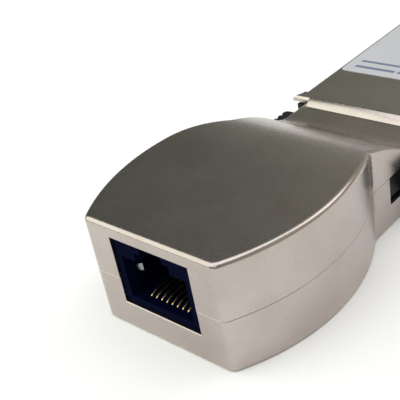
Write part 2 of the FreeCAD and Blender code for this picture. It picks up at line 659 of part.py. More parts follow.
def ground_tab_range():
    """Front and rear of the shield's grounding tabs."""
    start = JACK_RECESS + GROUND_TAB_SETBACK
    return start, start + GROUND_TAB_LENGTH


def jack_housing():
    """Moulded jack: plug opening with its key and clip notches, contact slots and side windows."""
    body = block(JACK_HALF, (JACK_RECESS, JACK_REAR_Y), (JACK_BOTTOM_Z, JACK_TOP_Z))
    mouth_y = (JACK_RECESS - 1, JACK_RECESS + PLUG_DEPTH)
    cuts = [
        block(PLUG_WIDTH / 2, mouth_y, (PLUG_FLOOR_Z, PLUG_ROOF_Z)),
        block(KEY_WIDTH / 2, mouth_y, (PLUG_ROOF_Z - 1, PLUG_ROOF_Z + KEY_HEIGHT)),
        block(CLIP_WIDTH / 2, mouth_y, (PLUG_ROOF_Z - 1, JACK_TOP_Z - SHIELD_SHEET)),
    ]
    slot_half = CONTACT_WIDTH / 2 + CONTACT_SLOT_CLEARANCE
    slot_y = (JACK_RECESS + CONTACT_SETBACK - CONTACT_SLOT_CLEARANCE, JACK_REAR_Y + 1)
    slot_z = (JACK_BOTTOM_Z + CONTACT_SEAT, PLUG_FLOOR_Z)
    for x in contact_places():
        cuts.append(side_block((x - slot_half, x + slot_half), slot_y, slot_z))
    tab_y = ground_tab_range()
    tab_y = (tab_y[0] - GROUND_TAB_CLEARANCE, tab_y[1] + GROUND_TAB_CLEARANCE)
    tab_half = GROUND_TAB_WIDTH / 2 + GROUND_TAB_CLEARANCE
    window_z = (GROUND_TAB_Z - tab_half, GROUND_TAB_Z + tab_half)
    cuts.append(block(JACK_HALF + 1, tab_y, window_z))
    return body.cut(cuts)


def jack_shield():
    """Folded shield over the jack's top, sides and back, with a grounding tab at each side."""
    start_y = FRONT_WALL + SHIELD_BEHIND_WALL
    outer_half = JACK_HALF + SHIELD_SHEET
    outer_rear = JACK_REAR_Y + SHIELD_SHEET
    can = block(outer_half, (start_y, outer_rear), (BOARD_TOP_Z, JACK_TOP_Z + SHIELD_SHEET))
    can = can.cut(block(JACK_HALF, (start_y - 1, JACK_REAR_Y), (BOARD_TOP_Z - 1, JACK_TOP_Z)))
    tails = block(JACK_HALF, (JACK_REAR_Y - 1, outer_rear + 1), (BOARD_TOP_Z - 1, PLUG_FLOOR_Z))
    can = can.cut(tails)
    tab_start, tab_end = ground_tab_range()
    reach_x = PLUG_WIDTH / 2 - GROUND_TAB_PROUD
    outline = [
        Vector(outer_half, tab_start, 0),
        Vector(reach_x + SHIELD_SHEET, (tab_start + tab_end) / 2, 0),
        Vector(outer_half, tab_end, 0),
        Vector(JACK_HALF, tab_end, 0),
        Vector(reach_x, (tab_start + tab_end) / 2, 0),
        Vector(JACK_HALF, tab_start, 0),
    ]
    face = Part.Face(Part.makePolygon(outline + outline[:1]))
    tab = prism(face, (GROUND_TAB_Z - GROUND_TAB_WIDTH / 2, GROUND_TAB_Z + GROUND_TAB_WIDTH / 2))
    return can.fuse(both_sides(tab)).removeSplitter()


def jack_contact(x):
    """One spring contact: foot on the board, run in its slot, front bend, arm that rises and flattens."""
    run_z = JACK_BOTTOM_Z + CONTACT_SEAT + CONTACT_SHEET / 2
    foot_z = BOARD_TOP_Z + CONTACT_SHEET / 2
    steep = math.radians(CONTACT_STEEP_DEG)
    rise = math.radians(CONTACT_RISE_DEG)
    bend_y = JACK_RECESS + CONTACT_SETBACK + CONTACT_BEND_RADIUS + CONTACT_SHEET / 2
    bend_run = CONTACT_BEND_RADIUS / math.tan(steep / 2)
    crest_run = CONTACT_CREST_RADIUS * math.tan((steep - rise) / 2)
    bend = Vector(x, bend_y - bend_run, run_z)
    crest = bend + Vector(0, math.cos(steep), math.sin(steep)) * (bend_run + CONTACT_STRAIGHT + crest_run)
    tip = crest + Vector(0, math.cos(rise), math.sin(rise)) * (crest_run + CONTACT_REACH)
    step_y = JACK_REAR_Y + SHIELD_SHEET + CONTACT_TAIL_RUN
    step = run_z - foot_z
    points = [
        Vector(x, step_y + 2 * step + CONTACT_FOOT, foot_z),
        Vector(x, step_y + 2 * step, foot_z),
        Vector(x, step_y, run_z),
        bend,
        crest,
        tip,
    ]
    tail = Part.makePolygon(points[:3])
    arm = rounded_path(points[2:], [CONTACT_BEND_RADIUS, CONTACT_CREST_RADIUS])
    path = Part.Wire(tail.Edges + arm.Edges)
    start = points[0]
    half = CONTACT_WIDTH / 2
    thick = CONTACT_SHEET / 2
    corners = [(-half, -thick), (half, -thick), (half, thick), (-half, thick), (-half, -thick)]
    section = Part.makePolygon([start + Vector(dx, 0, dz) for dx, dz in corners])
    return path.makePipeShell([section], True, False, MITRED)


# Circuit board and its parts

def board_end_y():
    """Where the board meets the rear connector."""
    return CONNECTOR_FRONT_Y


def circuit_board():
    """Stepped board: wide in the head and the tray, narrow through the neck."""
    head_half = BOARD_HEAD_WIDTH / 2
    neck_half = NECK_INSIDE_HALF - BOARD_CLEARANCE
    tray_half = TRAY_INSIDE_HALF - BOARD_CLEARANCE
    z_range = (BOARD_BOTTOM_Z, BOARD_TOP_Z)
    widen_y = COLLAR_Y + TRAY_WALL_SETBACK
    head = block(head_half, (FRONT_WALL + BOARD_CLEARANCE, NECK_START_Y), z_range)
    neck = block(neck_half, (NECK_START_Y - 1, widen_y + 1), z_range)
    tray = block(tray_half, (widen_y, board_end_y()), z_range)
    board = head.fuse([neck, tray]).removeSplitter()
    holes = [
        upright(SCREW_SHANK_RADIUS + SCREW_CLEARANCE, place, (0, BOARD_TOP_Z + 1))
        for place in BOARD_SCREW_PLACES
    ]
    return board.cut(holes)


def magnetics_y():
    """Front of the magnetics, clear of the contacts' feet."""
    run_z = JACK_BOTTOM_Z + CONTACT_SEAT
    tail_end = JACK_REAR_Y + SHIELD_SHEET + CONTACT_TAIL_RUN + 2 * (run_z - BOARD_TOP_Z) + CONTACT_FOOT
    return tail_end + MAGNETICS_GAP


def magnetics():
    """Moulded isolation magnetics behind the jack."""
    size = (MAGNETICS_WIDTH, MAGNETICS_LENGTH, MAGNETICS_HEIGHT)
    return chip(size, (0, magnetics_y() + MAGNETICS_LENGTH / 2), BOARD_TOP_Z)


def phy_y():
    """Middle of the line-interface chip along the board."""
    return COLLAR_Y + PHY_FROM_COLLAR + PHY_SIDE / 2


def phy_chip():
    """Line-interface chip in the rear body."""
    return chip((PHY_SIDE, PHY_SIDE, PHY_HEIGHT), (0, phy_y()), BOARD_TOP_Z)


def row_y():
    """Front edge of the row of small parts behind the line-interface chip."""
    return phy_y() + PHY_SIDE / 2 + PART_GAP


def voltage_regulator():
    """Regulator at the left of the rear row."""
    x = -(REGULATOR_LENGTH + PART_GAP) / 2
    size = (REGULATOR_LENGTH, REGULATOR_WIDTH, REGULATOR_HEIGHT)
    return chip(size, (x, row_y() + REGULATOR_WIDTH / 2), BOARD_TOP_Z)


def memory_chip():
    """Identification memory at the right of the rear row."""
    x = (MEMORY_LENGTH + PART_GAP) / 2
    return chip((MEMORY_LENGTH, MEMORY_WIDTH, MEMORY_HEIGHT), (x, row_y() + MEMORY_WIDTH / 2), BOARD_TOP_Z)


def crystal():
    """Clock crystal in the neck, ahead of the line-interface chip."""
    y = phy_y() - PHY_SIDE / 2 - PART_GAP - CRYSTAL_WIDTH / 2
    return chip((CRYSTAL_LENGTH, CRYSTAL_WIDTH, CRYSTAL_HEIGHT), (0, y), BOARD_TOP_Z)


def capacitors():
    """Four moulded capacitors in a row across the board, in front of the crystal."""
    y = phy_y() - PHY_SIDE / 2 - 2 * PART_GAP - CRYSTAL_WIDTH - CAPACITOR_LENGTH / 2
    pitch = CAPACITOR_WIDTH + PART_GAP
    solids = []
    for index in range(CAPACITOR_COUNT):
        x = (index - (CAPACITOR_COUNT - 1) / 2) * pitch
        solids.append(chip((CAPACITOR_WIDTH, CAPACITOR_LENGTH, CAPACITOR_HEIGHT), (x, y), BOARD_TOP_Z))
    return Part.makeCompound(solids)


# Rear connector

def socket_plan(grow):
    """Rear view of the connector's socket: a long D with sloped lower ends."""
    half = CONNECTOR_HALF - CONNECTOR_WALL + grow
    low = CONNECTOR_BOTTOM_Z + CONNECTOR_WALL - grow
    high = CONNECTOR_TOP_Z - CONNECTOR_WALL + grow
    corners = [
        (-half + CONNECTOR_KEY, low), (half - CONNECTOR_KEY, low), (half, low + CONNECTOR_KEY),
        (half, high), (-half, high), (-half, low + CONNECTOR_KEY), (-half + CONNECTOR_KEY, low),
    ]
    return Part.Face(Part.makePolygon([Vector(x, 0, z) for x, z in corners]))


def socket_floor_y():
    """Bottom of the connector's socket."""
    return CONNECTOR_FRONT_Y + CONNECTOR_WALL


def rear_connector():
    """Blind-mate connector: keyed shroud round a tongue that carries the contact blades."""
    body = socket_plan(CONNECTOR_WALL).extrude(Vector(0, CONNECTOR_DEPTH, 0))
    body.translate(Vector(0, CONNECTOR_FRONT_Y, 0))
    socket = socket_plan(0).extrude(Vector(0, CONNECTOR_DEPTH, 0))
    socket.translate(Vector(0, socket_floor_y(), 0))
    tongue_y = (CONNECTOR_FRONT_Y, CONNECTOR_FACE_Y - TONGUE_SETBACK)
    tongue = block(TONGUE_WIDTH / 2, tongue_y, (BOARD_BOTTOM_Z, BOARD_TOP_Z))
    shroud = body.cut(socket).fuse(tongue).removeSplitter()
    passages = []
    for row in (1, -1):
        passages += [blade(x, row, BLADE_SHEET / 2) for x in blade_places()]
    passages += [ground_blade()] + [mirrored(ground_blade())]
    return shroud.cut(passages)


def blade_places():
    """The x places of one row of connector blades."""
    return [(index - (BLADE_COUNT - 1) / 2) * BLADE_PITCH for index in range(BLADE_COUNT)]


def blade(x, row, grow=0.0):
    """One flat blade from the board onto the tongue; row 1 lies on top, row -1 below."""
    half = BLADE_WIDTH / 2 + grow
    y_range = (CONNECTOR_FRONT_Y - BLADE_TAIL, CONNECTOR_FACE_Y - TONGUE_SETBACK - BLADE_TIP_SETBACK)
    if row > 0:
        z_range = (BOARD_TOP_Z, BOARD_TOP_Z + BLADE_SHEET + grow)
    else:
        z_range = (BOARD_BOTTOM_Z - BLADE_SHEET - grow, BOARD_BOTTOM_Z)
    return side_block((x - half, x + half), y_range, z_range)


def blade_row(row):
    """All the blades of one row."""
    return Part.makeCompound([blade(x, row) for x in blade_places()])


def ground_blade():
    """Right-hand upright grounding blade beside the tongue."""
    x = (TONGUE_WIDTH / 2 + CONNECTOR_HALF - CONNECTOR_WALL) / 2
    y_range = (CONNECTOR_FRONT_Y, CONNECTOR_FACE_Y - TONGUE_SETBACK)
    half = GROUND_BLADE_HEIGHT / 2
    z_range = (BOARD_MIDDLE_Z - half, BOARD_MIDDLE_Z + half)
    return side_block((x - GROUND_BLADE_SHEET / 2, x + GROUND_BLADE_SHEET / 2), y_range, z_range)


# Screws

def drive_recess(place, z_range):
    """A cross recess for a driver."""
    along_x = (place[0] - DRIVE_REACH, place[0] + DRIVE_REACH)
    along_y = (place[1] - DRIVE_REACH, place[1] + DRIVE_REACH)
    across_x = (place[0] - DRIVE_SLOT / 2, place[0] + DRIVE_SLOT / 2)
    across_y = (place[1] - DRIVE_SLOT / 2, place[1] + DRIVE_SLOT / 2)
    return side_block(along_x, across_y, z_range).fuse(side_block(across_x, along_y, z_range))


def housing_screws():
    """Screws that pull the upper casting down onto the lower one."""
    solids = []
    head_z = (SCREW_SINK, SCREW_SINK + SCREW_HEAD_HEIGHT)
    for place in SCREW_PLACES:
        head = upright(SCREW_HEAD_RADIUS, place, head_z)
        shank = upright(SCREW_SHANK_RADIUS, place, (SCREW_SINK, PARTING_Z + SCREW_GRIP))
        recess = drive_recess(place, (0, SCREW_SINK + SCREW_HEAD_HEIGHT / 2))
        solids.append(head.fuse(shank).removeSplitter().cut(recess))
    return Part.makeCompound(solids)


def board_screws():
    """Screws that hold the board down on the tray's posts."""
    solids = []
    head_z = (BOARD_TOP_Z, BOARD_TOP_Z + BOARD_SCREW_HEAD_HEIGHT)
    for place in BOARD_SCREW_PLACES:
        head = upright(SCREW_HEAD_RADIUS, place, head_z)
        shank = upright(SCREW_SHANK_RADIUS, place, (BOARD_BOTTOM_Z - BOARD_SCREW_GRIP, head_z[1]))
        recess = drive_recess(place, (BOARD_TOP_Z + BOARD_SCREW_HEAD_HEIGHT / 2, head_z[1] + 1))
        solids.append(head.fuse(shank).removeSplitter().cut(recess))
    return Part.makeCompound(solids)


def build():
    """Every piece of the module by its name."""
    pieces = {
        "lower_housing": lower_housing(),
        "upper_housing": upper_housing(),
        "body_cover": body_cover(),
        "label": label(),
        "jack_housing": jack_housing(),
        "jack_shield": jack_shield(),
        "circuit_board": circuit_board(),
        "magnetics": magnetics(),
        "phy_chip": phy_chip(),
        "voltage_regulator": voltage_regulator(),
        "memory_chip": memory_chip(),
        "crystal": crystal(),
        "capacitors": capacitors(),
        "rear_connector": rear_connector(),
        "rear_contacts_upper": blade_row(1),
        "rear_contacts_lower": blade_row(-1),
        "housing_screws": housing_screws(),
        "board_screws": board_screws(),
    }
    for index, x in enumerate(contact_places(), start=1):
        pieces[f"jack_contact_{index}"] = jack_contact(x)
    sided = {"latch": latch(), "latch_pin": latch_pin(), "latch_spring": latch_spring(),
             "ground_blade": ground_blade()}
    for name, shape in sided.items():
        pieces[f"right_{name}"] = shape
        pieces[f"left_{name}"] = mirrored(shape)
    return pieces


def main():
    """Write each piece, with the origin under the middle of the module."""
    os.makedirs("parts", exist_ok=True)
    for name, shape in build().items():
        placed = shape.copy()
        placed.translate(Vector(0, -REAR_Y / 2, 0))
        placed.exportStep(f"parts/{name}.step")
        print(f"{name}: {len(placed.Solids)} solid(s), {placed.Volume:.1f} mm3, valid {placed.isValid()}")


main()
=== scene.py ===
"""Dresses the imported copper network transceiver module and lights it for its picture.

Sizes are in millimetres until MM turns them to metres. The frame is the CAD model's own: X to the right as
one looks into the jack, Y from the jack's face to the rear connector, Z up from the table. The classes that
draw new pieces count Y from the head's front face, and to_frame moves what they drew into the frame.
"""
import json
import logging
import math
from dataclasses import dataclass, field
from enum import Enum
from functools import cache
from typing import Any, Mapping, Optional, Sequence

import bmesh
import bpy
from mathutils import Matrix, Vector


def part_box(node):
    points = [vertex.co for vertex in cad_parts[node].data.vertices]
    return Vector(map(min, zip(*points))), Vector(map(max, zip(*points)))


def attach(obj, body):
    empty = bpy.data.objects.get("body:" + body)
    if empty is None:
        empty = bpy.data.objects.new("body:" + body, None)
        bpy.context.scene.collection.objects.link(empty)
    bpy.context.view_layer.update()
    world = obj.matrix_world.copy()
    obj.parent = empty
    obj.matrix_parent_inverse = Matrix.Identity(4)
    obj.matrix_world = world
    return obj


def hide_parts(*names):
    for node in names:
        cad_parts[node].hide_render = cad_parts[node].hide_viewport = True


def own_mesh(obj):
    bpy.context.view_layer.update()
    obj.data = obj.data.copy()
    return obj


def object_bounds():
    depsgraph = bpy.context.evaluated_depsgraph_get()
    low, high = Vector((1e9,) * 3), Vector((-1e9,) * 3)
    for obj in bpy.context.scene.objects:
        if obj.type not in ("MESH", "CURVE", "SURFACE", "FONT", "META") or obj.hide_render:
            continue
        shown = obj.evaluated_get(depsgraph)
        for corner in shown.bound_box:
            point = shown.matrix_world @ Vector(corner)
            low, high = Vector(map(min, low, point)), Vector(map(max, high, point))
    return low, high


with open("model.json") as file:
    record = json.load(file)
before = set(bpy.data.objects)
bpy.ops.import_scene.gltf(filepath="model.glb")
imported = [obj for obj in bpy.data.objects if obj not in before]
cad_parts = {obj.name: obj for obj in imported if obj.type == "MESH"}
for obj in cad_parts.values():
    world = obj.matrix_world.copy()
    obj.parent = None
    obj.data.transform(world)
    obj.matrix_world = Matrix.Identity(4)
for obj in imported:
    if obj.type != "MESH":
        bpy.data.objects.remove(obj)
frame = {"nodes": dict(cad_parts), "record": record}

LOG = logging.getLogger("module")
CAD_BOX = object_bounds()
MM = 0.001
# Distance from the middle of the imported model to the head's front face.
FRONT_FACE_Y = -CAD_BOX[0].y / MM
ACROSS = (1.0, 0.0, 0.0)
ALONG = (0.0, 1.0, 0.0)
UPWARDS = (0.0, 0.0, 1.0)

# Points nearer than TOUCH share a plane, a cut snaps to points nearer than SNAP, and points nearer than
# MERGE are one.
TOUCH = 0.01
SNAP = 0.001
MERGE = 0.0001
# A face whose normal rises or falls by more than this looks up or down.
STEEP = 0.5
# Edges that turn by more than this many degrees stay sharp.
SHARP_ANGLE = 35.0

# Sockets of a Mix node that mixes colours.
MIX_SHARE, MIX_FIRST, MIX_SECOND, MIX_RESULT = 0, 6, 7, 2
# Octaves of the noise in colours and in grains, and how rough a metal's grain is.
DRIFT_DETAIL = 3.0
GRAIN_DETAIL = 2.0
METAL_GRAIN_ROUGHNESS = 0.6
# Noise values between which clouds change colour and a grain changes gloss.
CLOUD_SPAN = (0.35, 0.65)
GRAIN_SPAN = (0.3, 0.7)

# Pixels along a side of the picture, and millimetres across the camera's sensor.
PHOTO_SIDE = 400
SENSOR_WIDTH = 36.0


class Body(Enum):
    """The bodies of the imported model."""

    MODULE = "module"
    LEFT_LATCH = "left_latch"
    RIGHT_LATCH = "right_latch"


class Slot(Enum):
    """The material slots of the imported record."""

    CASTING = "plated_casting"
    SHEET = "plated_sheet"
    LABEL = "label_film"
    JACK = "jack_plastic"
    LATCH = "latch_plastic"
    GOLD = "gold_contact"
    TIN = "tinned_steel"
    SCREW = "screw_steel"
    BOARD = "board_laminate"
    EPOXY = "chip_epoxy"
    CAPACITOR = "capacitor_resin"


class Facing(Enum):
    """The ways that a face can look."""

    UP = "up"
    SIDE = "side"
    DOWN = "down"


def linear(colour: str) -> tuple[float, float, float, float]:
    """Turns an sRGB hex colour into linear light.

    Args:
        colour: Six hex digits after a hash sign.

    Returns:
        Red, green, blue and an alpha of one.
    """
    parts = [int(colour[i:i + 2], 16) / 255 for i in (1, 3, 5)]
    red, green, blue = (c / 12.92 if c <= 0.04045 else ((c + 0.055) / 1.055) ** 2.4 for c in parts)
    return red, green, blue, 1.0


def per_metre(size: float) -> float:
    """Gives the texture scale that makes a pattern repeat about every `size` millimetres."""
    return 1.0 / (size * MM)


def add_node(tree: bpy.types.NodeTree, kind: str, inputs: Optional[Mapping[Any, Any]] = None,
             **settings: Any) -> bpy.types.Node:
    """Adds a shader node.

    Args:
        tree: The node tree that takes the node.
        kind: The node's type name without its ShaderNode prefix.
        inputs: Values or sockets by input name or number; a socket is linked.
        settings: Properties of the node itself.

    Returns:
        The new node.
    """
    node = tree.nodes.new("ShaderNode" + kind)
    for key, value in settings.items():
        setattr(node, key, value)
    for key, value in (inputs or {}).items():
        if isinstance(value, bpy.types.NodeSocket):
            tree.links.new(value, node.inputs[key])
        else:
            node.inputs[key].default_value = value
    return node


@dataclass(frozen=True)
class Finish:
    """What every finish has: the material's common name and its main colour."""

    name: str
    colour: str

    def dress(self, tree: bpy.types.NodeTree, shader: bpy.types.Node, place: bpy.types.NodeSocket) -> None:
        """Gives the shader what the finish adds to its main colour.

        Args:
            tree: The material's node tree.
            shader: Its Principled shader.
            place: Object coordinates, in metres.
        """
        raise NotImplementedError

    @cache
    def material(self) -> bpy.types.Material:
        """Builds the material at the first call and keeps it for the others.

        Returns:
            The material.
        """
        material = bpy.data.materials.new(self.name)
        material.use_nodes = True
        tree = material.node_tree
        shader = tree.nodes["Principled BSDF"]
        shader.inputs["Base Color"].default_value = linear(self.colour)
        place = add_node(tree, "TexCoord").outputs["Object"]
        self.dress(tree, shader, place)
        return material


@dataclass(frozen=True)
class PatternedFinish(Finish):
    """A finish of the module: its colour drifts over some millimetres, and it has a grain."""

    slot: Slot
    drift_colour: str
    drift_mm: float
    grain_mm: float
    grain_height_mm: float
    roughness: float
    roughness_spread: float

    def add_drift(self, tree: bpy.types.NodeTree, shader: bpy.types.Node,
                  share: bpy.types.NodeSocket) -> None:
        """Lets the colour drift towards the second one.

        Args:
            tree: The material's node tree.
            shader: Its Principled shader.
            share: How much of the second colour each place has.
        """
        tint = add_node(tree, "Mix", {MIX_SHARE: share, MIX_FIRST: linear(self.colour),
                                      MIX_SECOND: linear(self.drift_colour)}, data_type="RGBA")
        tree.links.new(tint.outputs[MIX_RESULT], shader.inputs["Base Color"])

    def add_grain(self, tree: bpy.types.NodeTree, shader: bpy.types.Node,
                  grain: bpy.types.NodeSocket) -> None:
        """Lets a grain vary the gloss and stand out as relief.

        Args:
            tree: The material's node tree.
            shader: Its Principled shader.
            grain: The grain's value at each place.
        """
        low, high = GRAIN_SPAN
        gloss = add_node(tree, "MapRange", {"Value": grain, "From Min": low, "From Max": high,
                                            "To Min": self.roughness - self.roughness_spread,
                                            "To Max": self.roughness + self.roughness_spread})
        tree.links.new(gloss.outputs["Result"], shader.inputs["Roughness"])
        relief = add_node(tree, "Bump", {"Height": grain, "Strength": 1.0,
                                         "Distance": self.grain_height_mm * MM})
        tree.links.new(relief.outputs["Normal"], shader.inputs["Normal"])


@dataclass(frozen=True)
class MetalFinish(PatternedFinish):
    """A plated or plain metal: soft clouds in its colour, and a grain that may run one way."""

    grain_stretch: tuple[float, float, float] = (1.0, 1.0, 1.0)

    def dress(self, tree: bpy.types.NodeTree, shader: bpy.types.Node, place: bpy.types.NodeSocket) -> None:
        """Makes the shader a metal with clouds and a grain.

        Args:
            tree: The material's node tree.
            shader: Its Principled shader.
            place: Object coordinates, in metres.
        """
        shader.inputs["Metallic"].default_value = 1.0
        clouds = add_node(tree, "TexNoise", {"Vector": place, "Scale": per_metre(self.drift_mm),
                                             "Detail": DRIFT_DETAIL})
        low, high = CLOUD_SPAN
        share = add_node(tree, "MapRange", {"Value": clouds.outputs["Fac"],
                                            "From Min": low, "From Max": high})
        self.add_drift(tree, shader, share.outputs["Result"])
        stretched = add_node(tree, "Mapping", {"Vector": place, "Scale": self.grain_stretch})
        grain = add_node(tree, "TexNoise", {"Vector": stretched.outputs["Vector"],
                                            "Scale": per_metre(self.grain_mm), "Detail": GRAIN_DETAIL,
                                            "Roughness": METAL_GRAIN_ROUGHNESS})
        self.add_grain(tree, shader, grain.outputs["Fac"])


@dataclass(frozen=True)
class PlasticFinish(PatternedFinish):
    """A moulded or printed plastic: an even colour with a faint flow, and the texture of its tool."""

    ior: float
    specular: float = 0.5

    def dress(self, tree: bpy.types.NodeTree, shader: bpy.types.Node, place: bpy.types.NodeSocket) -> None:
        """Gives the shader the plastic's gloss, its flow and its texture.

        Args:
            tree: The material's node tree.
            shader: Its Principled shader.
            place: Object coordinates, in metres.
        """
        shader.inputs["IOR"].default_value = self.ior
        shader.inputs["Specular IOR Level"].default_value = self.specular
        flow = add_node(tree, "TexNoise", {"Vector": place, "Scale": per_metre(self.drift_mm),
                                           "Detail": DRIFT_DETAIL})
        self.add_drift(tree, shader, flow.outputs["Fac"])
        texture = add_node(tree, "TexNoise", {"Vector": place, "Scale": per_metre(self.grain_mm),
                                              "Detail": GRAIN_DETAIL})
        self.add_grain(tree, shader, texture.outputs["Fac"])


@dataclass(frozen=True)
class FloorFinish(Finish):
    """The table's matt paper."""

    roughness: float = 0.9

    def dress(self, tree: bpy.types.NodeTree, shader: bpy.types.Node, place: bpy.types.NodeSocket) -> None:
        """Gives the shader a matt surface and no pattern.

        Args:
            tree: The material's node tree.
            shader: Its Principled shader.
            place: Object coordinates, in metres.
        """
        shader.inputs["Roughness"].default_value = self.roughness
        shader.inputs["Specular IOR Level"].default_value = 0.0


# The real grains are finer than the picture can show, so all of them are drawn 0.15 to 0.5 mm wide.

# Zinc die casting, blasted and nickel plated: a warm satin mirror with a fine even grain.
SATIN_NICKEL = MetalFinish(
    "satin_nickel_plated_zinc", "#BDB3AE", Slot.CASTING, drift_colour="#B5AAA4", drift_mm=7.0,
    grain_mm=0.35, grain_height_mm=0.0006, roughness=0.25, roughness_spread=0.03)
# Steel strip, nickel plated before it was folded: the same warm grey with a rolling grain along its length.
ROLLED_NICKEL = MetalFinish(
    "nickel_plated_steel_strip", "#C0B7B0", Slot.SHEET, drift_colour="#B8AEA7", drift_mm=9.0,
    grain_mm=0.3, grain_height_mm=0.003, roughness=0.24, roughness_spread=0.04,
    grain_stretch=(1.0, 0.08, 1.0))
# A flash of hard gold over nickel: a pale yellow mirror with soft glints on the round wires.
HARD_GOLD = MetalFinish(
    "hard_gold_plating", "#EFD9A2", Slot.GOLD, drift_colour="#E2C88C", drift_mm=1.5,
    grain_mm=0.2, grain_height_mm=0.001, roughness=0.25, roughness_spread=0.04)
# Hot-tinned steel: a pale grey with the cloudy crystals of the tin.
TINNED_STEEL = MetalFinish(
    "tinned_steel", "#A5A8AC", Slot.TIN, drift_colour="#979A9F", drift_mm=2.5,
    grain_mm=0.3, grain_height_mm=0.002, roughness=0.3, roughness_spread=0.06)
# Nickel-plated steel of the screws and pins: a bright grey, a little cooler than the casting.
SCREW_STEEL = MetalFinish(
    "nickel_plated_screw_steel", "#B9BCC0", Slot.SCREW, drift_colour="#A9ACB0", drift_mm=1.2,
    grain_mm=0.2, grain_height_mm=0.002, roughness=0.3, roughness_spread=0.05)
# Polyester label film: a matt cool white, a little grey from handling.
LABEL_FILM = PlasticFinish(
    "polyester_label_film", "#C6C7CC", Slot.LABEL, drift_colour="#BEBFC5", drift_mm=6.0,
    grain_mm=0.4, grain_height_mm=0.002, roughness=0.5, roughness_spread=0.05, ior=1.57)
# Thermal-transfer ink: a slate blue that is glossier than the film.
LABEL_INK = PlasticFinish(
    "label_ink", "#76839B", Slot.LABEL, drift_colour="#6B788F", drift_mm=1.2,
    grain_mm=0.3, grain_height_mm=0.001, roughness=0.4, roughness_spread=0.05, ior=1.5)
# Glass-filled PBT, moulded: navy black with hardly any sheen.
JACK_PBT = PlasticFinish(
    "glass_filled_pbt", "#050920", Slot.JACK, drift_colour="#070B25", drift_mm=4.0,
    grain_mm=0.2, grain_height_mm=0.003, roughness=0.45, roughness_spread=0.05, ior=1.57, specular=0.004)
# Glass-filled nylon, moulded with a spark-eroded texture: a dull black.
LATCH_NYLON = PlasticFinish(
    "glass_filled_nylon", "#0C0D13", Slot.LATCH, drift_colour="#101118", drift_mm=3.0,
    grain_mm=0.25, grain_height_mm=0.006, roughness=0.48, roughness_spread=0.06, ior=1.53, specular=0.3)
# Solder mask over glass cloth: a half-gloss deep green.
BOARD_MASK = PlasticFinish(
    "solder_mask_on_laminate", "#1D5A3C", Slot.BOARD, drift_colour="#174A32", drift_mm=1.6,
    grain_mm=0.5, grain_height_mm=0.004, roughness=0.35, roughness_spread=0.06, ior=1.55)
# Moulding epoxy: black with a fine matt grain.
CHIP_EPOXY = PlasticFinish(
    "moulding_epoxy", "#1B1C1F", Slot.EPOXY, drift_colour="#222327", drift_mm=2.0,
    grain_mm=0.15, grain_height_mm=0.004, roughness=0.55, roughness_spread=0.06, ior=1.55)
# Capacitor resin, moulded: an even tan.
CAPACITOR_RESIN = PlasticFinish(
    "capacitor_resin", "#B98B52", Slot.CAPACITOR, drift_colour="#A87B45", drift_mm=1.0,
    grain_mm=0.2, grain_height_mm=0.003, roughness=0.45, roughness_spread=0.06, ior=1.55)
# Matt paper: a plain white that shows only shadows.
MATT_PAPER = FloorFinish("matt_white_paper", "#FFFFFF")

SLOT_FINISHES: Mapping[str, PatternedFinish] = {finish.slot.value: finish for finish in (
    SATIN_NICKEL, ROLLED_NICKEL, HARD_GOLD, TINNED_STEEL, SCREW_STEEL, LABEL_FILM, JACK_PBT, LATCH_NYLON,
    BOARD_MASK, CHIP_EPOXY, CAPACITOR_RESIN)}


def show(piece: bpy.types.Object, finish: Finish) -> None:
    """Gives an object one finish all over."""
    piece.data.materials.clear()
    piece.data.materials.append(finish.material())


def seat(piece: bpy.types.Object, body: Body, finish: PatternedFinish, *nodes: str) -> None:
    """Dresses a new piece, sets it on its body and reports it.

    Args:
        piece: The new object, at the origin with its place in its mesh.
        body: The body that carries it.
        finish: Its finish.
        nodes: The CAD nodes that it stands for.
    """
    show(piece, finish)
    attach(piece, body.value)
    if nodes:
        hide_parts(*nodes)
    LOG.info("%s: %d faces on %s", piece.name, len(piece.data.polygons), body.value)


def pick(geometry: Sequence[Any], kind: type) -> list[Any]:
    """Picks the vertices, the edges or the faces out of an operator's result."""
    return [item for item in geometry if isinstance(item, kind)]


def facing(face: bmesh.types.BMFace) -> Facing:
    """Tells which way a face looks.

    Args:
        face: The face, with its normal worked out.

    Returns:
        Up or down for a level face or a slope, and side for a wall.
    """
    if abs(face.normal.z) < STEEP:
        return Facing.SIDE
    return Facing.UP if face.normal.z > 0.0 else Facing.DOWN


def round_edges(bm: bmesh.types.BMesh, edges: list[bmesh.types.BMEdge], size: float, segments: int) -> None:
    """Rounds some edges of a mesh.

    Args:
        bm: The mesh.
        edges: The edges to round.
        size: How far the rounding reaches on each side, in the mesh's own unit.
        segments: Faces across the rounding.
    """
    bmesh.ops.bevel(bm, geom=edges, offset=size, offset_type="OFFSET", segments=segments, profile=0.5,
                    affect="EDGES", clamp_overlap=True, material=-1)


def node_box(node: str) -> tuple[Vector, Vector]:
    """Gives a CAD node's box in millimetres, with Y from the front face.

    Args:
        node: The node's name.

    Returns:
        Its lowest and its highest corner.
    """
    low, high = (corner / MM + Vector((0.0, FRONT_FACE_Y, 0.0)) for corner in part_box(node))
    return low, high


def to_frame(bm: bmesh.types.BMesh) -> None:
    """Moves a mesh that was drawn from the front face into the frame, and turns it to metres."""
    bmesh.ops.translate(bm, verts=bm.verts, vec=(0.0, -FRONT_FACE_Y, 0.0))
    bmesh.ops.scale(bm, verts=bm.verts, vec=(MM, MM, MM))


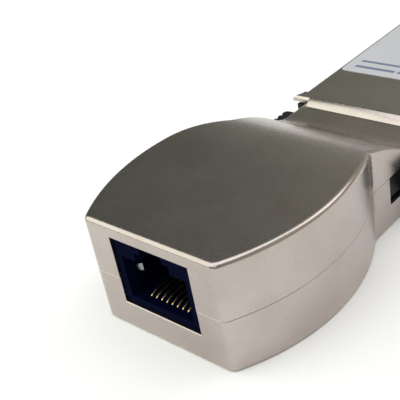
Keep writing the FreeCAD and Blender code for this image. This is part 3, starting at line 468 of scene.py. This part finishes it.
def new_piece(name: str, bm: bmesh.types.BMesh, sharp_angle: float = SHARP_ANGLE) -> bpy.types.Object:
    """Turns a finished bmesh into an object with smooth faces and sharp corners.

    Args:
        name: The piece's name.
        bm: Its mesh, in metres; it is freed.
        sharp_angle: Edges turning more than this many degrees stay sharp.

    Returns:
        The new object, linked to the scene.
    """
    mesh = bpy.data.meshes.new(name)
    bm.to_mesh(mesh)
    bm.free()
    # A copy of a CAD node brings the normals of its loose triangles with it.
    if "custom_normal" in mesh.attributes:
        mesh.attributes.remove(mesh.attributes["custom_normal"])
    mesh.polygons.foreach_set("use_smooth", [True] * len(mesh.polygons))
    mesh.set_sharp_from_angle(angle=math.radians(sharp_angle))
    piece = bpy.data.objects.new(name, mesh)
    bpy.context.scene.collection.objects.link(piece)
    return piece


def keep_faces_flat(piece: bpy.types.Object) -> None:
    """Weighs a piece's normals by area, so that flat faces stay flat beside rounded edges."""
    weight = piece.modifiers.new("flat_faces", "WEIGHTED_NORMAL")
    weight.keep_sharp = True


@dataclass
class RefinedNode:
    """A CAD node's own form with its sharp edges eased, as tumbling or a tool's wear leaves them."""

    node: str
    name: str
    body: Body
    finish: PatternedFinish
    edge_mm: float
    segments: int = 2
    corner_angle: float = 40.0
    flat_angle: float = 0.4
    merge_mm: float = 0.002

    def build(self) -> bpy.types.Object:
        """Merges a copy of the node's triangles, eases its edges and puts it in the node's place.

        Returns:
            The new piece.
        """
        bm = bmesh.new()
        bm.from_mesh(frame["nodes"][self.node].data)
        bmesh.ops.remove_doubles(bm, verts=bm.verts, dist=self.merge_mm * MM)
        bmesh.ops.dissolve_limit(bm, angle_limit=math.radians(self.flat_angle), verts=bm.verts,
                                 edges=bm.edges)
        limit = math.radians(self.corner_angle)
        corners = [e for e in bm.edges if len(e.link_faces) == 2 and e.calc_face_angle(0.0) > limit]
        if self.edge_mm > 0.0:
            round_edges(bm, corners, self.edge_mm * MM, self.segments)
        piece = new_piece(self.name, bm, self.corner_angle)
        keep_faces_flat(piece)
        seat(piece, self.body, self.finish, self.node)
        return piece


@dataclass
class LatchSpring(RefinedNode):
    """A bowed leaf spring that the squeezed lever presses against the wall of its pocket."""

    joint: str = ""
    pressed_share: float = 0.36

    def build(self) -> bpy.types.Object:
        """Builds the spring as the CAD has it, on a mesh of its own.

        Returns:
            The new piece.
        """
        piece = super().build()
        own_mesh(piece)
        return piece


REFINED_NODES: Sequence[RefinedNode] = (
    RefinedNode("lower_housing", "lower_casting", Body.MODULE, SATIN_NICKEL, edge_mm=0.04),
    RefinedNode("body_cover", "folded_cover", Body.MODULE, ROLLED_NICKEL, edge_mm=0.05),
    RefinedNode("jack_housing", "jack_moulding", Body.MODULE, JACK_PBT, edge_mm=0.07),
    RefinedNode("rear_connector", "connector_moulding", Body.MODULE, JACK_PBT, edge_mm=0.07),
    RefinedNode("left_latch", "left_latch_lever", Body.LEFT_LATCH, LATCH_NYLON, edge_mm=0.12, segments=3),
    RefinedNode("right_latch", "right_latch_lever", Body.RIGHT_LATCH, LATCH_NYLON, edge_mm=0.12, segments=3),
    LatchSpring("left_latch_spring", "left_leaf_spring", Body.MODULE, TINNED_STEEL, edge_mm=0.0,
                joint="left_latch_pivot"),
    LatchSpring("right_latch_spring", "right_leaf_spring", Body.MODULE, TINNED_STEEL, edge_mm=0.0,
                joint="right_latch_pivot"),
)


@dataclass
class UpperCasting:
    """The domed half of the head, its ramp and the plate over the neck; Y runs from the front face."""

    node: str = "upper_housing"
    side_radius: float = 33.4
    widest_half: float = 17.444
    widest_y: float = 18.2
    side_steps: int = 52
    corner_radius: float = 1.6
    corner_steps: int = 10
    neck_half: float = 13.3
    neck_corner_radius: float = 3.0
    neck_corner_steps: int = 6
    rear_y: float = 57.9
    parting_z: float = field(init=False)
    roof_z: float = field(init=False)
    neck_z: float = 9.4
    ramp_radius: float = 38.0
    foot_radius: float = 8.0
    foot_y: float = 49.614
    ramp_steps: int = 18
    wall: float = 1.5
    roof_wall: float = 1.7
    pocket_end_y: float = 40.0
    window_half: float = 7.3
    window_top_z: float = 16.0
    rim_radius: float = 0.75
    rim_segments: int = 7
    neck_rim_radius: float = 0.45
    window_edge: float = 0.12
    parting_edge: float = 0.06

    def __post_init__(self) -> None:
        """Takes the heights of the parting plane and of the roof from the node."""
        self.parting_z, self.roof_z = (corner.z for corner in node_box(self.node))

    @property
    def ramp_start_y(self) -> float:
        """Works out where the flat roof turns into the ramp.

        Returns:
            The distance from the front face.
        """
        reach = self.ramp_radius + self.foot_radius
        rise = self.neck_z + self.foot_radius - (self.roof_z - self.ramp_radius)
        return self.foot_y - math.sqrt(reach ** 2 - rise ** 2)

    def roof_height(self, y: float) -> float:
        """Works out the outside height of the casting, from the roof down the ramp to the neck.

        Args:
            y: The distance from the front face.

        Returns:
            The height above the table.
        """
        start = self.ramp_start_y
        share = self.ramp_radius / (self.ramp_radius + self.foot_radius)
        if y <= start:
            return self.roof_z
        if y <= start + (self.foot_y - start) * share:
            return self.roof_z - self.ramp_radius + math.sqrt(self.ramp_radius ** 2 - (y - start) ** 2)
        if y <= self.foot_y:
            return self.neck_z + self.foot_radius - math.sqrt(self.foot_radius ** 2 - (self.foot_y - y) ** 2)
        return self.neck_z

    @staticmethod
    def draw_line(bm: bmesh.types.BMesh, tip: bmesh.types.BMVert,
                  end: Sequence[float]) -> bmesh.types.BMVert:
        """Draws an edge from a vertex to a point.

        Args:
            bm: The mesh.
            tip: The vertex that the edge starts from.
            end: The point that it goes to.

        Returns:
            The new vertex at that point.
        """
        drawn = bmesh.ops.extrude_vert_indiv(bm, verts=[tip])["verts"][0]
        drawn.co = end
        return drawn

    def draw_plan(self, bm: bmesh.types.BMesh) -> bmesh.types.BMFace:
        """Draws the plan at the parting plane: the right half from front to rear, then its mirror image.

        Args:
            bm: The empty mesh that takes it.

        Returns:
            The plan as one face.
        """
        centre_x = self.widest_half - self.side_radius
        inner = self.side_radius - self.corner_radius
        corner_x = centre_x + math.sqrt(inner ** 2 - (self.widest_y - self.corner_radius) ** 2)
        corner_angle = math.asin((self.widest_y - self.corner_radius) / inner)
        outer = self.side_radius + self.neck_corner_radius
        hollow_x = self.neck_half + self.neck_corner_radius
        hollow_angle = math.acos((hollow_x - centre_x) / outer)
        hollow_y = self.widest_y + outer * math.sin(hollow_angle)
        z = self.parting_z
        arcs = (((corner_x, self.corner_radius, z), math.pi / 2 - corner_angle, self.corner_steps),
                ((centre_x, self.widest_y, z), corner_angle + hollow_angle, self.side_steps),
                ((hollow_x, hollow_y, z), -hollow_angle, self.neck_corner_steps))
        tip = self.draw_line(bm, bm.verts.new((0.0, 0.0, z)), (corner_x, 0.0, z))
        for centre, angle, steps in arcs:
            turned = bmesh.ops.spin(bm, geom=[tip], cent=centre, axis=UPWARDS, angle=angle, steps=steps)
            tip = pick(turned["geom_last"], bmesh.types.BMVert)[0]
        tip = self.draw_line(bm, tip, (self.neck_half, self.rear_y, z))
        self.draw_line(bm, tip, (0.0, self.rear_y, z))
        bmesh.ops.mirror(bm, geom=bm.verts[:] + bm.edges[:], axis="X", merge_dist=MERGE)
        bmesh.ops.contextual_create(bm, geom=bm.edges[:])
        return bm.faces[:][0]

    def raise_roof(self, bm: bmesh.types.BMesh, plan: bmesh.types.BMFace) -> None:
        """Extrudes the plan, cuts it into strips along the ramp and lets each strip down to the ramp.

        Args:
            bm: The casting's mesh.
            plan: Its only face so far.
        """
        tops = pick(bmesh.ops.extrude_face_region(bm, geom=[plan], use_keep_orig=True)["geom"],
                    bmesh.types.BMVert)
        bmesh.ops.translate(bm, verts=tops, vec=(0.0, 0.0, self.roof_z - self.parting_z))
        # The strips follow the plan's own points beside the ramp, and behind those they are even.
        corners = sorted({round(v.co.y / MERGE) * MERGE for v in tops if v.co.y < self.foot_y})
        last_flat = max(y for y in corners if y <= self.ramp_start_y)
        strips = [y for y in corners if y >= last_flat]
        step = (self.foot_y - strips[-1]) / self.ramp_steps
        strips += [strips[-1] + step * (n + 1) for n in range(self.ramp_steps)]
        for y in strips:
            bmesh.ops.bisect_plane(bm, geom=bm.verts[:] + bm.edges[:] + bm.faces[:], dist=SNAP,
                                   plane_co=(0.0, y, 0.0), plane_no=ALONG)
        halfway = (self.parting_z + self.roof_z) / 2
        for vert in bm.verts:
            if vert.co.z > halfway:
                vert.co.z = self.roof_height(vert.co.y)
        bmesh.ops.recalc_face_normals(bm, faces=bm.faces[:])

    def hollow_out(self, bm: bmesh.types.BMesh) -> None:
        """Sinks the pocket that houses the jack into the underside of the head.

        Args:
            bm: The casting's mesh.
        """
        under = [f for f in bm.faces
                 if facing(f) is Facing.DOWN and f.calc_center_median().y < self.pocket_end_y]
        bmesh.ops.inset_region(bm, faces=under, thickness=self.wall, use_boundary=True, use_even_offset=True)
        raised = bmesh.ops.extrude_face_region(bm, geom=under)["geom"]
        for vert in pick(raised, bmesh.types.BMVert):
            vert.co.z = self.roof_height(vert.co.y) - self.roof_wall
        bmesh.ops.delete(bm, geom=under, context="FACES_KEEP_BOUNDARY")

    def cut_window(self, bm: bmesh.types.BMesh) -> None:
        """Cuts the jack's window through the front wall, open at the parting plane.

        Args:
            bm: The casting's mesh.
        """
        def in_front_wall(face: bmesh.types.BMFace) -> bool:
            """Tells whether a face of the front wall reaches in between the window's sides."""
            return (all(v.co.y < self.wall + TOUCH for v in face.verts)
                    and min(abs(v.co.x) for v in face.verts) < self.window_half - TOUCH)

        for place, way in (((self.window_half, 0.0, 0.0), ACROSS), ((-self.window_half, 0.0, 0.0), ACROSS),
                           ((0.0, 0.0, self.window_top_z), UPWARDS)):
            faces = [f for f in bm.faces if in_front_wall(f)]
            edges = [e for e in bm.edges if not set(e.link_faces).isdisjoint(faces)]
            verts = [v for v in bm.verts if not set(v.link_faces).isdisjoint(faces)]
            bmesh.ops.bisect_plane(bm, geom=verts + edges + faces, dist=MERGE, plane_co=place, plane_no=way)
        pane = [f for f in bm.faces if in_front_wall(f) and f.calc_center_median().z < self.window_top_z
                and all(abs(v.co.x) < self.window_half + TOUCH for v in f.verts)]
        bmesh.ops.delete(bm, geom=pane, context="FACES")
        jambs = [e for e in bm.edges if e.is_boundary and abs(e.verts[0].co.y - e.verts[1].co.y) < TOUCH]
        bmesh.ops.bridge_loops(bm, edges=jambs)
        bmesh.ops.recalc_face_normals(bm, faces=bm.faces[:])

    def edge_radius(self, edge: bmesh.types.BMEdge) -> float:
        """Says how far an edge is rounded: the roof's rim most, the window less, the parting edge least.

        Args:
            edge: An edge between two faces.

        Returns:
            The rounding's size, or zero for an edge that stays as it is.
        """
        middle = (edge.verts[0].co + edge.verts[1].co) / 2
        ways = {facing(f) for f in edge.link_faces}
        in_window = (abs(middle.x) < self.window_half + TOUCH and middle.y < TOUCH
                     and middle.z < self.window_top_z + TOUCH)
        if in_window and edge.calc_face_angle() > math.radians(SHARP_ANGLE):
            return self.window_edge
        if ways == {Facing.UP, Facing.SIDE} and middle.y < self.rear_y - TOUCH:
            drop = (self.roof_z - self.roof_height(middle.y)) / (self.roof_z - self.neck_z)
            return self.rim_radius + (self.neck_rim_radius - self.rim_radius) * drop
        if ways == {Facing.DOWN, Facing.SIDE} and middle.z < self.parting_z + TOUCH:
            return self.parting_edge
        return 0.0

    def build(self) -> None:
        """Builds the casting and puts it in the place of its node."""
        bm = bmesh.new()
        self.raise_roof(bm, self.draw_plan(bm))
        self.hollow_out(bm)
        self.cut_window(bm)
        weights = bm.edges.layers.float.new("bevel_weight_edge")
        for edge in bm.edges:
            if len(edge.link_faces) == 2:
                edge[weights] = self.edge_radius(edge) / self.rim_radius
        to_frame(bm)
        piece = new_piece("upper_casting", bm)
        rounding = piece.modifiers.new("rounded_rim", "BEVEL")
        rounding.limit_method = "WEIGHT"
        rounding.width = self.rim_radius * MM
        rounding.segments = self.rim_segments
        rounding.profile = 0.5
        rounding.use_clamp_overlap = False
        keep_faces_flat(piece)
        seat(piece, Body.MODULE, SATIN_NICKEL, self.node)


@dataclass
class JackContacts:
    """The jack's spring contacts: flattened round wires; Y runs from the front face.

    Each lies on the route of its CAD contact up to the bend behind the jack's face. Its free arm is flatter
    than the CAD one, so that only a short bright end shows.
    """

    count: int = 8
    half_width: float = 0.17
    half_sheet: float = 0.16
    ring_corners: int = 12
    foot_end_y: float = 18.95
    foot_y: float = 17.95
    foot_z: float = 4.875
    step_y: float = 17.35
    run_z: float = 5.175
    bend_y: float = 2.225
    bend_radius: float = 0.35
    bend_steps: int = 12
    steep: float = 19.0
    straight: float = 0.8
    crest_radius: float = 1.2
    crest_steps: int = 8
    rise: float = 3.0
    reach: float = 7.2

    @staticmethod
    def push(bm: bmesh.types.BMesh, ring: list[bmesh.types.BMEdge],
             way: Sequence[float]) -> list[bmesh.types.BMEdge]:
        """Draws the wire on in a straight line.

        Args:
            bm: The wire's mesh.
            ring: The edges of its open end.
            way: How far and where to.

        Returns:
            The edges of the new end.
        """
        grown = bmesh.ops.extrude_edge_only(bm, edges=ring)["geom"]
        ends = pick(grown, bmesh.types.BMVert)
        bmesh.ops.translate(bm, verts=ends, vec=way)
        return [e for e in pick(grown, bmesh.types.BMEdge) if set(ends).issuperset(e.verts)]

    @staticmethod
    def turn(bm: bmesh.types.BMesh, ring: list[bmesh.types.BMEdge], centre: Sequence[float], degrees: float,
             steps: int) -> list[bmesh.types.BMEdge]:
        """Bends the wire up and back about a level axis.

        Args:
            bm: The wire's mesh.
            ring: The edges of its open end.
            centre: A point of the axis.
            degrees: How far it bends.
            steps: Rings along the bend.

        Returns:
            The edges of the new end.
        """
        corners = list(dict.fromkeys(v for e in ring for v in e.verts))
        turned = bmesh.ops.spin(bm, geom=ring + corners, cent=centre, axis=ACROSS,
                                angle=-math.radians(degrees), steps=steps)
        return pick(turned["geom_last"], bmesh.types.BMEdge)

    def draw_wire(self, x: float) -> bmesh.types.BMesh:
        """Draws one wire from its foot on the board to its free tip.

        Args:
            x: Where it lies across the jack.

        Returns:
            The wire's closed mesh, in millimetres.
        """
        steep, rise = math.radians(self.steep), math.radians(self.rise)
        bm = bmesh.new()
        verts = bmesh.ops.create_circle(bm, segments=self.ring_corners, radius=1.0)["verts"]
        bmesh.ops.scale(bm, verts=verts, vec=(self.half_width, self.half_sheet, 1.0))
        bmesh.ops.rotate(bm, verts=verts, matrix=Matrix.Rotation(math.pi / 2, 3, "X"))
        bmesh.ops.translate(bm, verts=verts, vec=(x, self.foot_end_y, self.foot_z))
        ring = self.push(bm, bm.edges[:], (0.0, self.foot_y - self.foot_end_y, 0.0))
        ring = self.push(bm, ring, (0.0, self.step_y - self.foot_y, self.run_z - self.foot_z))
        ring = self.push(bm, ring, (0.0, self.bend_y - self.step_y, 0.0))
        centre = (x, self.bend_y, self.run_z + self.bend_radius)
        ring = self.turn(bm, ring, centre, 180.0 - self.steep, self.bend_steps)
        ring = self.push(bm, ring, (0.0, self.straight * math.cos(steep), self.straight * math.sin(steep)))
        crest_y = self.bend_y - self.bend_radius * math.sin(steep) + self.straight * math.cos(steep)
        crest_z = self.run_z + self.bend_radius * (1 + math.cos(steep)) + self.straight * math.sin(steep)
        centre = (x, crest_y + self.crest_radius * math.sin(steep),
                  crest_z - self.crest_radius * math.cos(steep))
        ring = self.turn(bm, ring, centre, self.steep - self.rise, self.crest_steps)
        self.push(bm, ring, (0.0, self.reach * math.cos(rise), self.reach * math.sin(rise)))
        bmesh.ops.edgeloop_fill(bm, edges=[e for e in bm.edges if e.is_boundary])
        bmesh.ops.recalc_face_normals(bm, faces=bm.faces[:])
        return bm

    def build(self) -> None:
        """Builds the wires and puts each in the place of its node."""
        for number in range(1, self.count + 1):
            node = f"jack_contact_{number}"
            left, right = (corner.x for corner in node_box(node))
            bm = self.draw_wire((left + right) / 2)
            to_frame(bm)
            seat(new_piece(f"jack_wire_{number}", bm), Body.MODULE, HARD_GOLD, node)


@dataclass
class CoverNose:
    """The slope that leads from the cover's rolled lip down to the neck; Y runs from the front face."""

    lip_radius: float = 0.7
    foot_z: float = 9.41
    top_tilt: float = 24.0
    foot_tilt: float = 45.0
    slope_steps: int = 8
    half_width: float = 12.5
    end_round: float = 0.35
    end_segments: int = 4

    def build(self) -> None:
        """Draws the slope's section, stretches it over the neck and rounds its ends."""
        top, foot = math.radians(self.top_tilt), math.radians(self.foot_tilt)
        cover_low, cover_high = node_box("body_cover")
        # The slope leaves the lip's roll where the roll has the slope's own tilt.
        start_y = cover_low.y + self.lip_radius * (1 - math.sin(top))
        start_z = cover_high.z - self.lip_radius * (1 - math.cos(top))
        radius = (start_z - self.foot_z) / (math.cos(top) - math.cos(foot))
        centre = (0.0, start_y + radius * math.sin(top), start_z - radius * math.cos(top))
        bm = bmesh.new()
        tip = bm.verts.new((-self.half_width, start_y, start_z))
        heel = bmesh.ops.extrude_vert_indiv(bm, verts=[tip])["verts"][0]
        heel.co.z = self.foot_z
        bmesh.ops.spin(bm, geom=[tip], cent=centre, axis=ACROSS, angle=foot - top, steps=self.slope_steps)
        bmesh.ops.contextual_create(bm, geom=bm.verts[:] + bm.edges[:])
        drawn = bmesh.ops.extrude_face_region(bm, geom=bm.faces[:], use_keep_orig=True)["geom"]
        bmesh.ops.translate(bm, verts=pick(drawn, bmesh.types.BMVert), vec=(2 * self.half_width, 0.0, 0.0))
        bmesh.ops.recalc_face_normals(bm, faces=bm.faces[:])
        ends = [e for e in bm.edges if abs(e.verts[0].co.x - e.verts[1].co.x) < TOUCH
                and any(facing(f) is Facing.UP for f in e.link_faces)]
        round_edges(bm, ends, self.end_round, self.end_segments)
        to_frame(bm)
        seat(new_piece("cover_nose", bm), Body.MODULE, ROLLED_NICKEL)


@dataclass
class LabelBars:
    """Two rows of plain bars where the label is printed; Y runs from the front face.

    A row is its front edge and its depth, and a bar is its left end and its length.
    """

    ink: float = 0.012
    rows: tuple[tuple[float, float], ...] = ((69.45, 0.85), (71.9, 0.75))
    bars: tuple[tuple[float, float], ...] = ((-11.7, 8.4), (-2.6, 6.0), (4.1, 5.2))

    def build(self) -> None:
        """Lays each bar of each row on the film."""
        film_z = node_box("label")[1].z
        bm = bmesh.new()
        for row_y, depth in self.rows:
            for bar_x, length in self.bars:
                verts = bmesh.ops.create_cube(bm, size=1.0)["verts"]
                bmesh.ops.scale(bm, verts=verts, vec=(length, depth, self.ink))
                middle = (bar_x + length / 2, row_y + depth / 2, film_z + self.ink / 2)
                bmesh.ops.translate(bm, verts=verts, vec=middle)
        to_frame(bm)
        seat(new_piece("label_bars", bm), Body.MODULE, LABEL_INK)


@dataclass(frozen=True)
class Lamp:
    """A square softbox that faces the head."""

    name: str
    way: tuple[float, float, float]
    distance: float
    side: float
    radiance: float
    colour: str = "#FFFFFF"

    def build(self) -> None:
        """Hangs the softbox in its direction from the head, as bright as its radiance says."""
        head = Vector((0.0, -FRONT_FACE_Y / 2, 0.0))
        way = Vector(self.way).normalized()
        side = self.side * MM
        data = bpy.data.lights.new(self.name, "AREA")
        data.shape = "SQUARE"
        data.size = side
        # A flat lamp's power is its radiance times its area times pi.
        data.energy = self.radiance * side * side * math.pi
        data.color = linear(self.colour)[:3]
        lamp = bpy.data.objects.new(self.name, data)
        lamp.location = (head + way * self.distance) * MM
        lamp.rotation_mode = "QUATERNION"
        lamp.rotation_quaternion = way.to_track_quat("Z", "Y")
        bpy.context.scene.collection.objects.link(lamp)


@dataclass
class Studio:
    """The table, the light and the camera.

    The camera's angles are in degrees. It looks at a point in the plane of the front face, aim_x across and
    aim_z up, from a distance in millimetres, and sees what lies between nearest and farthest. Its focal
    length is in pixels of the picture.
    """

    azimuth: float = 46.802
    elevation: float = 31.649
    roll: float = -11.257
    focal_pixels: float = 838.794
    distance: float = 97.334
    aim_x: float = 12.268
    aim_z: float = 27.86
    nearest: float = 5.0
    farthest: float = 20000.0
    floor_side: float = 6000.0
    # Radiances of the room's walls.
    dim_wall: float = 0.1
    dim_wall_colour: str = "#F6FFF3"
    bright_wall: float = 0.47
    bright_wall_colour: str = "#FFFEEA"
    bright_wall_way: tuple[float, float, float] = (0.7, 0.71, 0.0)
    # Cosines of the angle from the bright wall's direction between which dim turns to bright.
    wall_span: tuple[float, float] = (-0.3, 0.8)
    lamps: tuple[Lamp, ...] = (
        Lamp("overhead_softbox", way=(0.03, 0.02, 1.0), distance=600.0, side=560.0, radiance=1.8,
             colour="#FAF9FF"),
        Lamp("front_left_softbox", way=(-0.62, -0.5, 0.6), distance=500.0, side=560.0, radiance=1.7,
             colour="#FBFFF5"),
        Lamp("rear_softbox", way=(0.34, 0.6, 0.7), distance=500.0, side=240.0, radiance=1.8),
        Lamp("front_softbox", way=(0.2, -0.72, 0.75), distance=600.0, side=480.0, radiance=1.05),
    )

    def add_floor(self) -> None:
        """Lays the paper under the module."""
        bm = bmesh.new()
        bmesh.ops.create_grid(bm, x_segments=1, y_segments=1, size=self.floor_side / 2 * MM)
        bmesh.ops.translate(bm, verts=bm.verts, vec=(0.0, 0.0, CAD_BOX[0].z))
        floor = new_piece("paper_floor", bm)
        show(floor, MATT_PAPER)

    def add_walls(self) -> None:
        """Lights the room dimly, and most from behind on the right."""
        world = bpy.data.worlds.new("studio")
        world.use_nodes = True
        tree = world.node_tree
        background = tree.nodes["Background"]
        direction = add_node(tree, "TexCoord").outputs["Generated"]
        towards = add_node(tree, "VectorMath", {0: direction, 1: self.bright_wall_way},
                           operation="DOT_PRODUCT").outputs["Value"]
        low, high = self.wall_span
        share = add_node(tree, "MapRange", {"Value": towards, "From Min": low, "From Max": high},
                         interpolation_type="SMOOTHSTEP").outputs["Result"]
        tint = add_node(tree, "Mix", {MIX_SHARE: share, MIX_FIRST: linear(self.dim_wall_colour),
                                      MIX_SECOND: linear(self.bright_wall_colour)}, data_type="RGBA")
        light = add_node(tree, "MapRange", {"Value": share, "To Min": self.dim_wall,
                                            "To Max": self.bright_wall})
        tree.links.new(tint.outputs[MIX_RESULT], background.inputs["Color"])
        tree.links.new(light.outputs["Result"], background.inputs["Strength"])
        bpy.context.scene.world = world

    def add_camera(self) -> None:
        """Stands the camera where the photograph was taken from."""
        azimuth, elevation, roll = (math.radians(a) for a in (self.azimuth, self.elevation, self.roll))
        back = Vector((math.sin(azimuth) * math.cos(elevation), -math.cos(azimuth) * math.cos(elevation),
                       math.sin(elevation)))
        level = Vector((math.cos(azimuth), math.sin(azimuth), 0.0))
        upright = back.cross(level)
        right = level * math.cos(roll) + upright * math.sin(roll)
        up = upright * math.cos(roll) - level * math.sin(roll)
        place = Vector((self.aim_x, -FRONT_FACE_Y, self.aim_z)) + back * self.distance
        data = bpy.data.cameras.new("camera")
        data.sensor_width = SENSOR_WIDTH
        data.lens = self.focal_pixels / PHOTO_SIDE * SENSOR_WIDTH
        data.clip_start = self.nearest * MM
        data.clip_end = self.farthest * MM
        camera = bpy.data.objects.new("camera", data)
        turn = Matrix((right, up, back)).transposed().to_4x4()
        camera.matrix_world = Matrix.Translation(place * MM) @ turn
        bpy.context.scene.collection.objects.link(camera)
        bpy.context.scene.camera = camera

    def build(self) -> None:
        """Sets up the whole studio."""
        self.add_floor()
        self.add_walls()
        for lamp in self.lamps:
            lamp.build()
        self.add_camera()
        bpy.context.scene.view_settings.view_transform = "Standard"


def dress_nodes() -> None:
    """Gives each CAD node the finish of its material slot."""
    for part in frame["record"]["subparts"]:
        show(frame["nodes"][part["node"]], SLOT_FINISHES[part["material_slot"]])


def main() -> None:
    """Dresses the nodes, builds the pieces and sets up the studio."""
    logging.basicConfig(level=logging.INFO, format="%(name)s %(message)s")
    dress_nodes()
    UpperCasting().build()
    JackContacts().build()
    CoverNose().build()
    LabelBars().build()
    for refined in REFINED_NODES:
        refined.build()
    Studio().build()


if __name__ == "__main__":
    main()
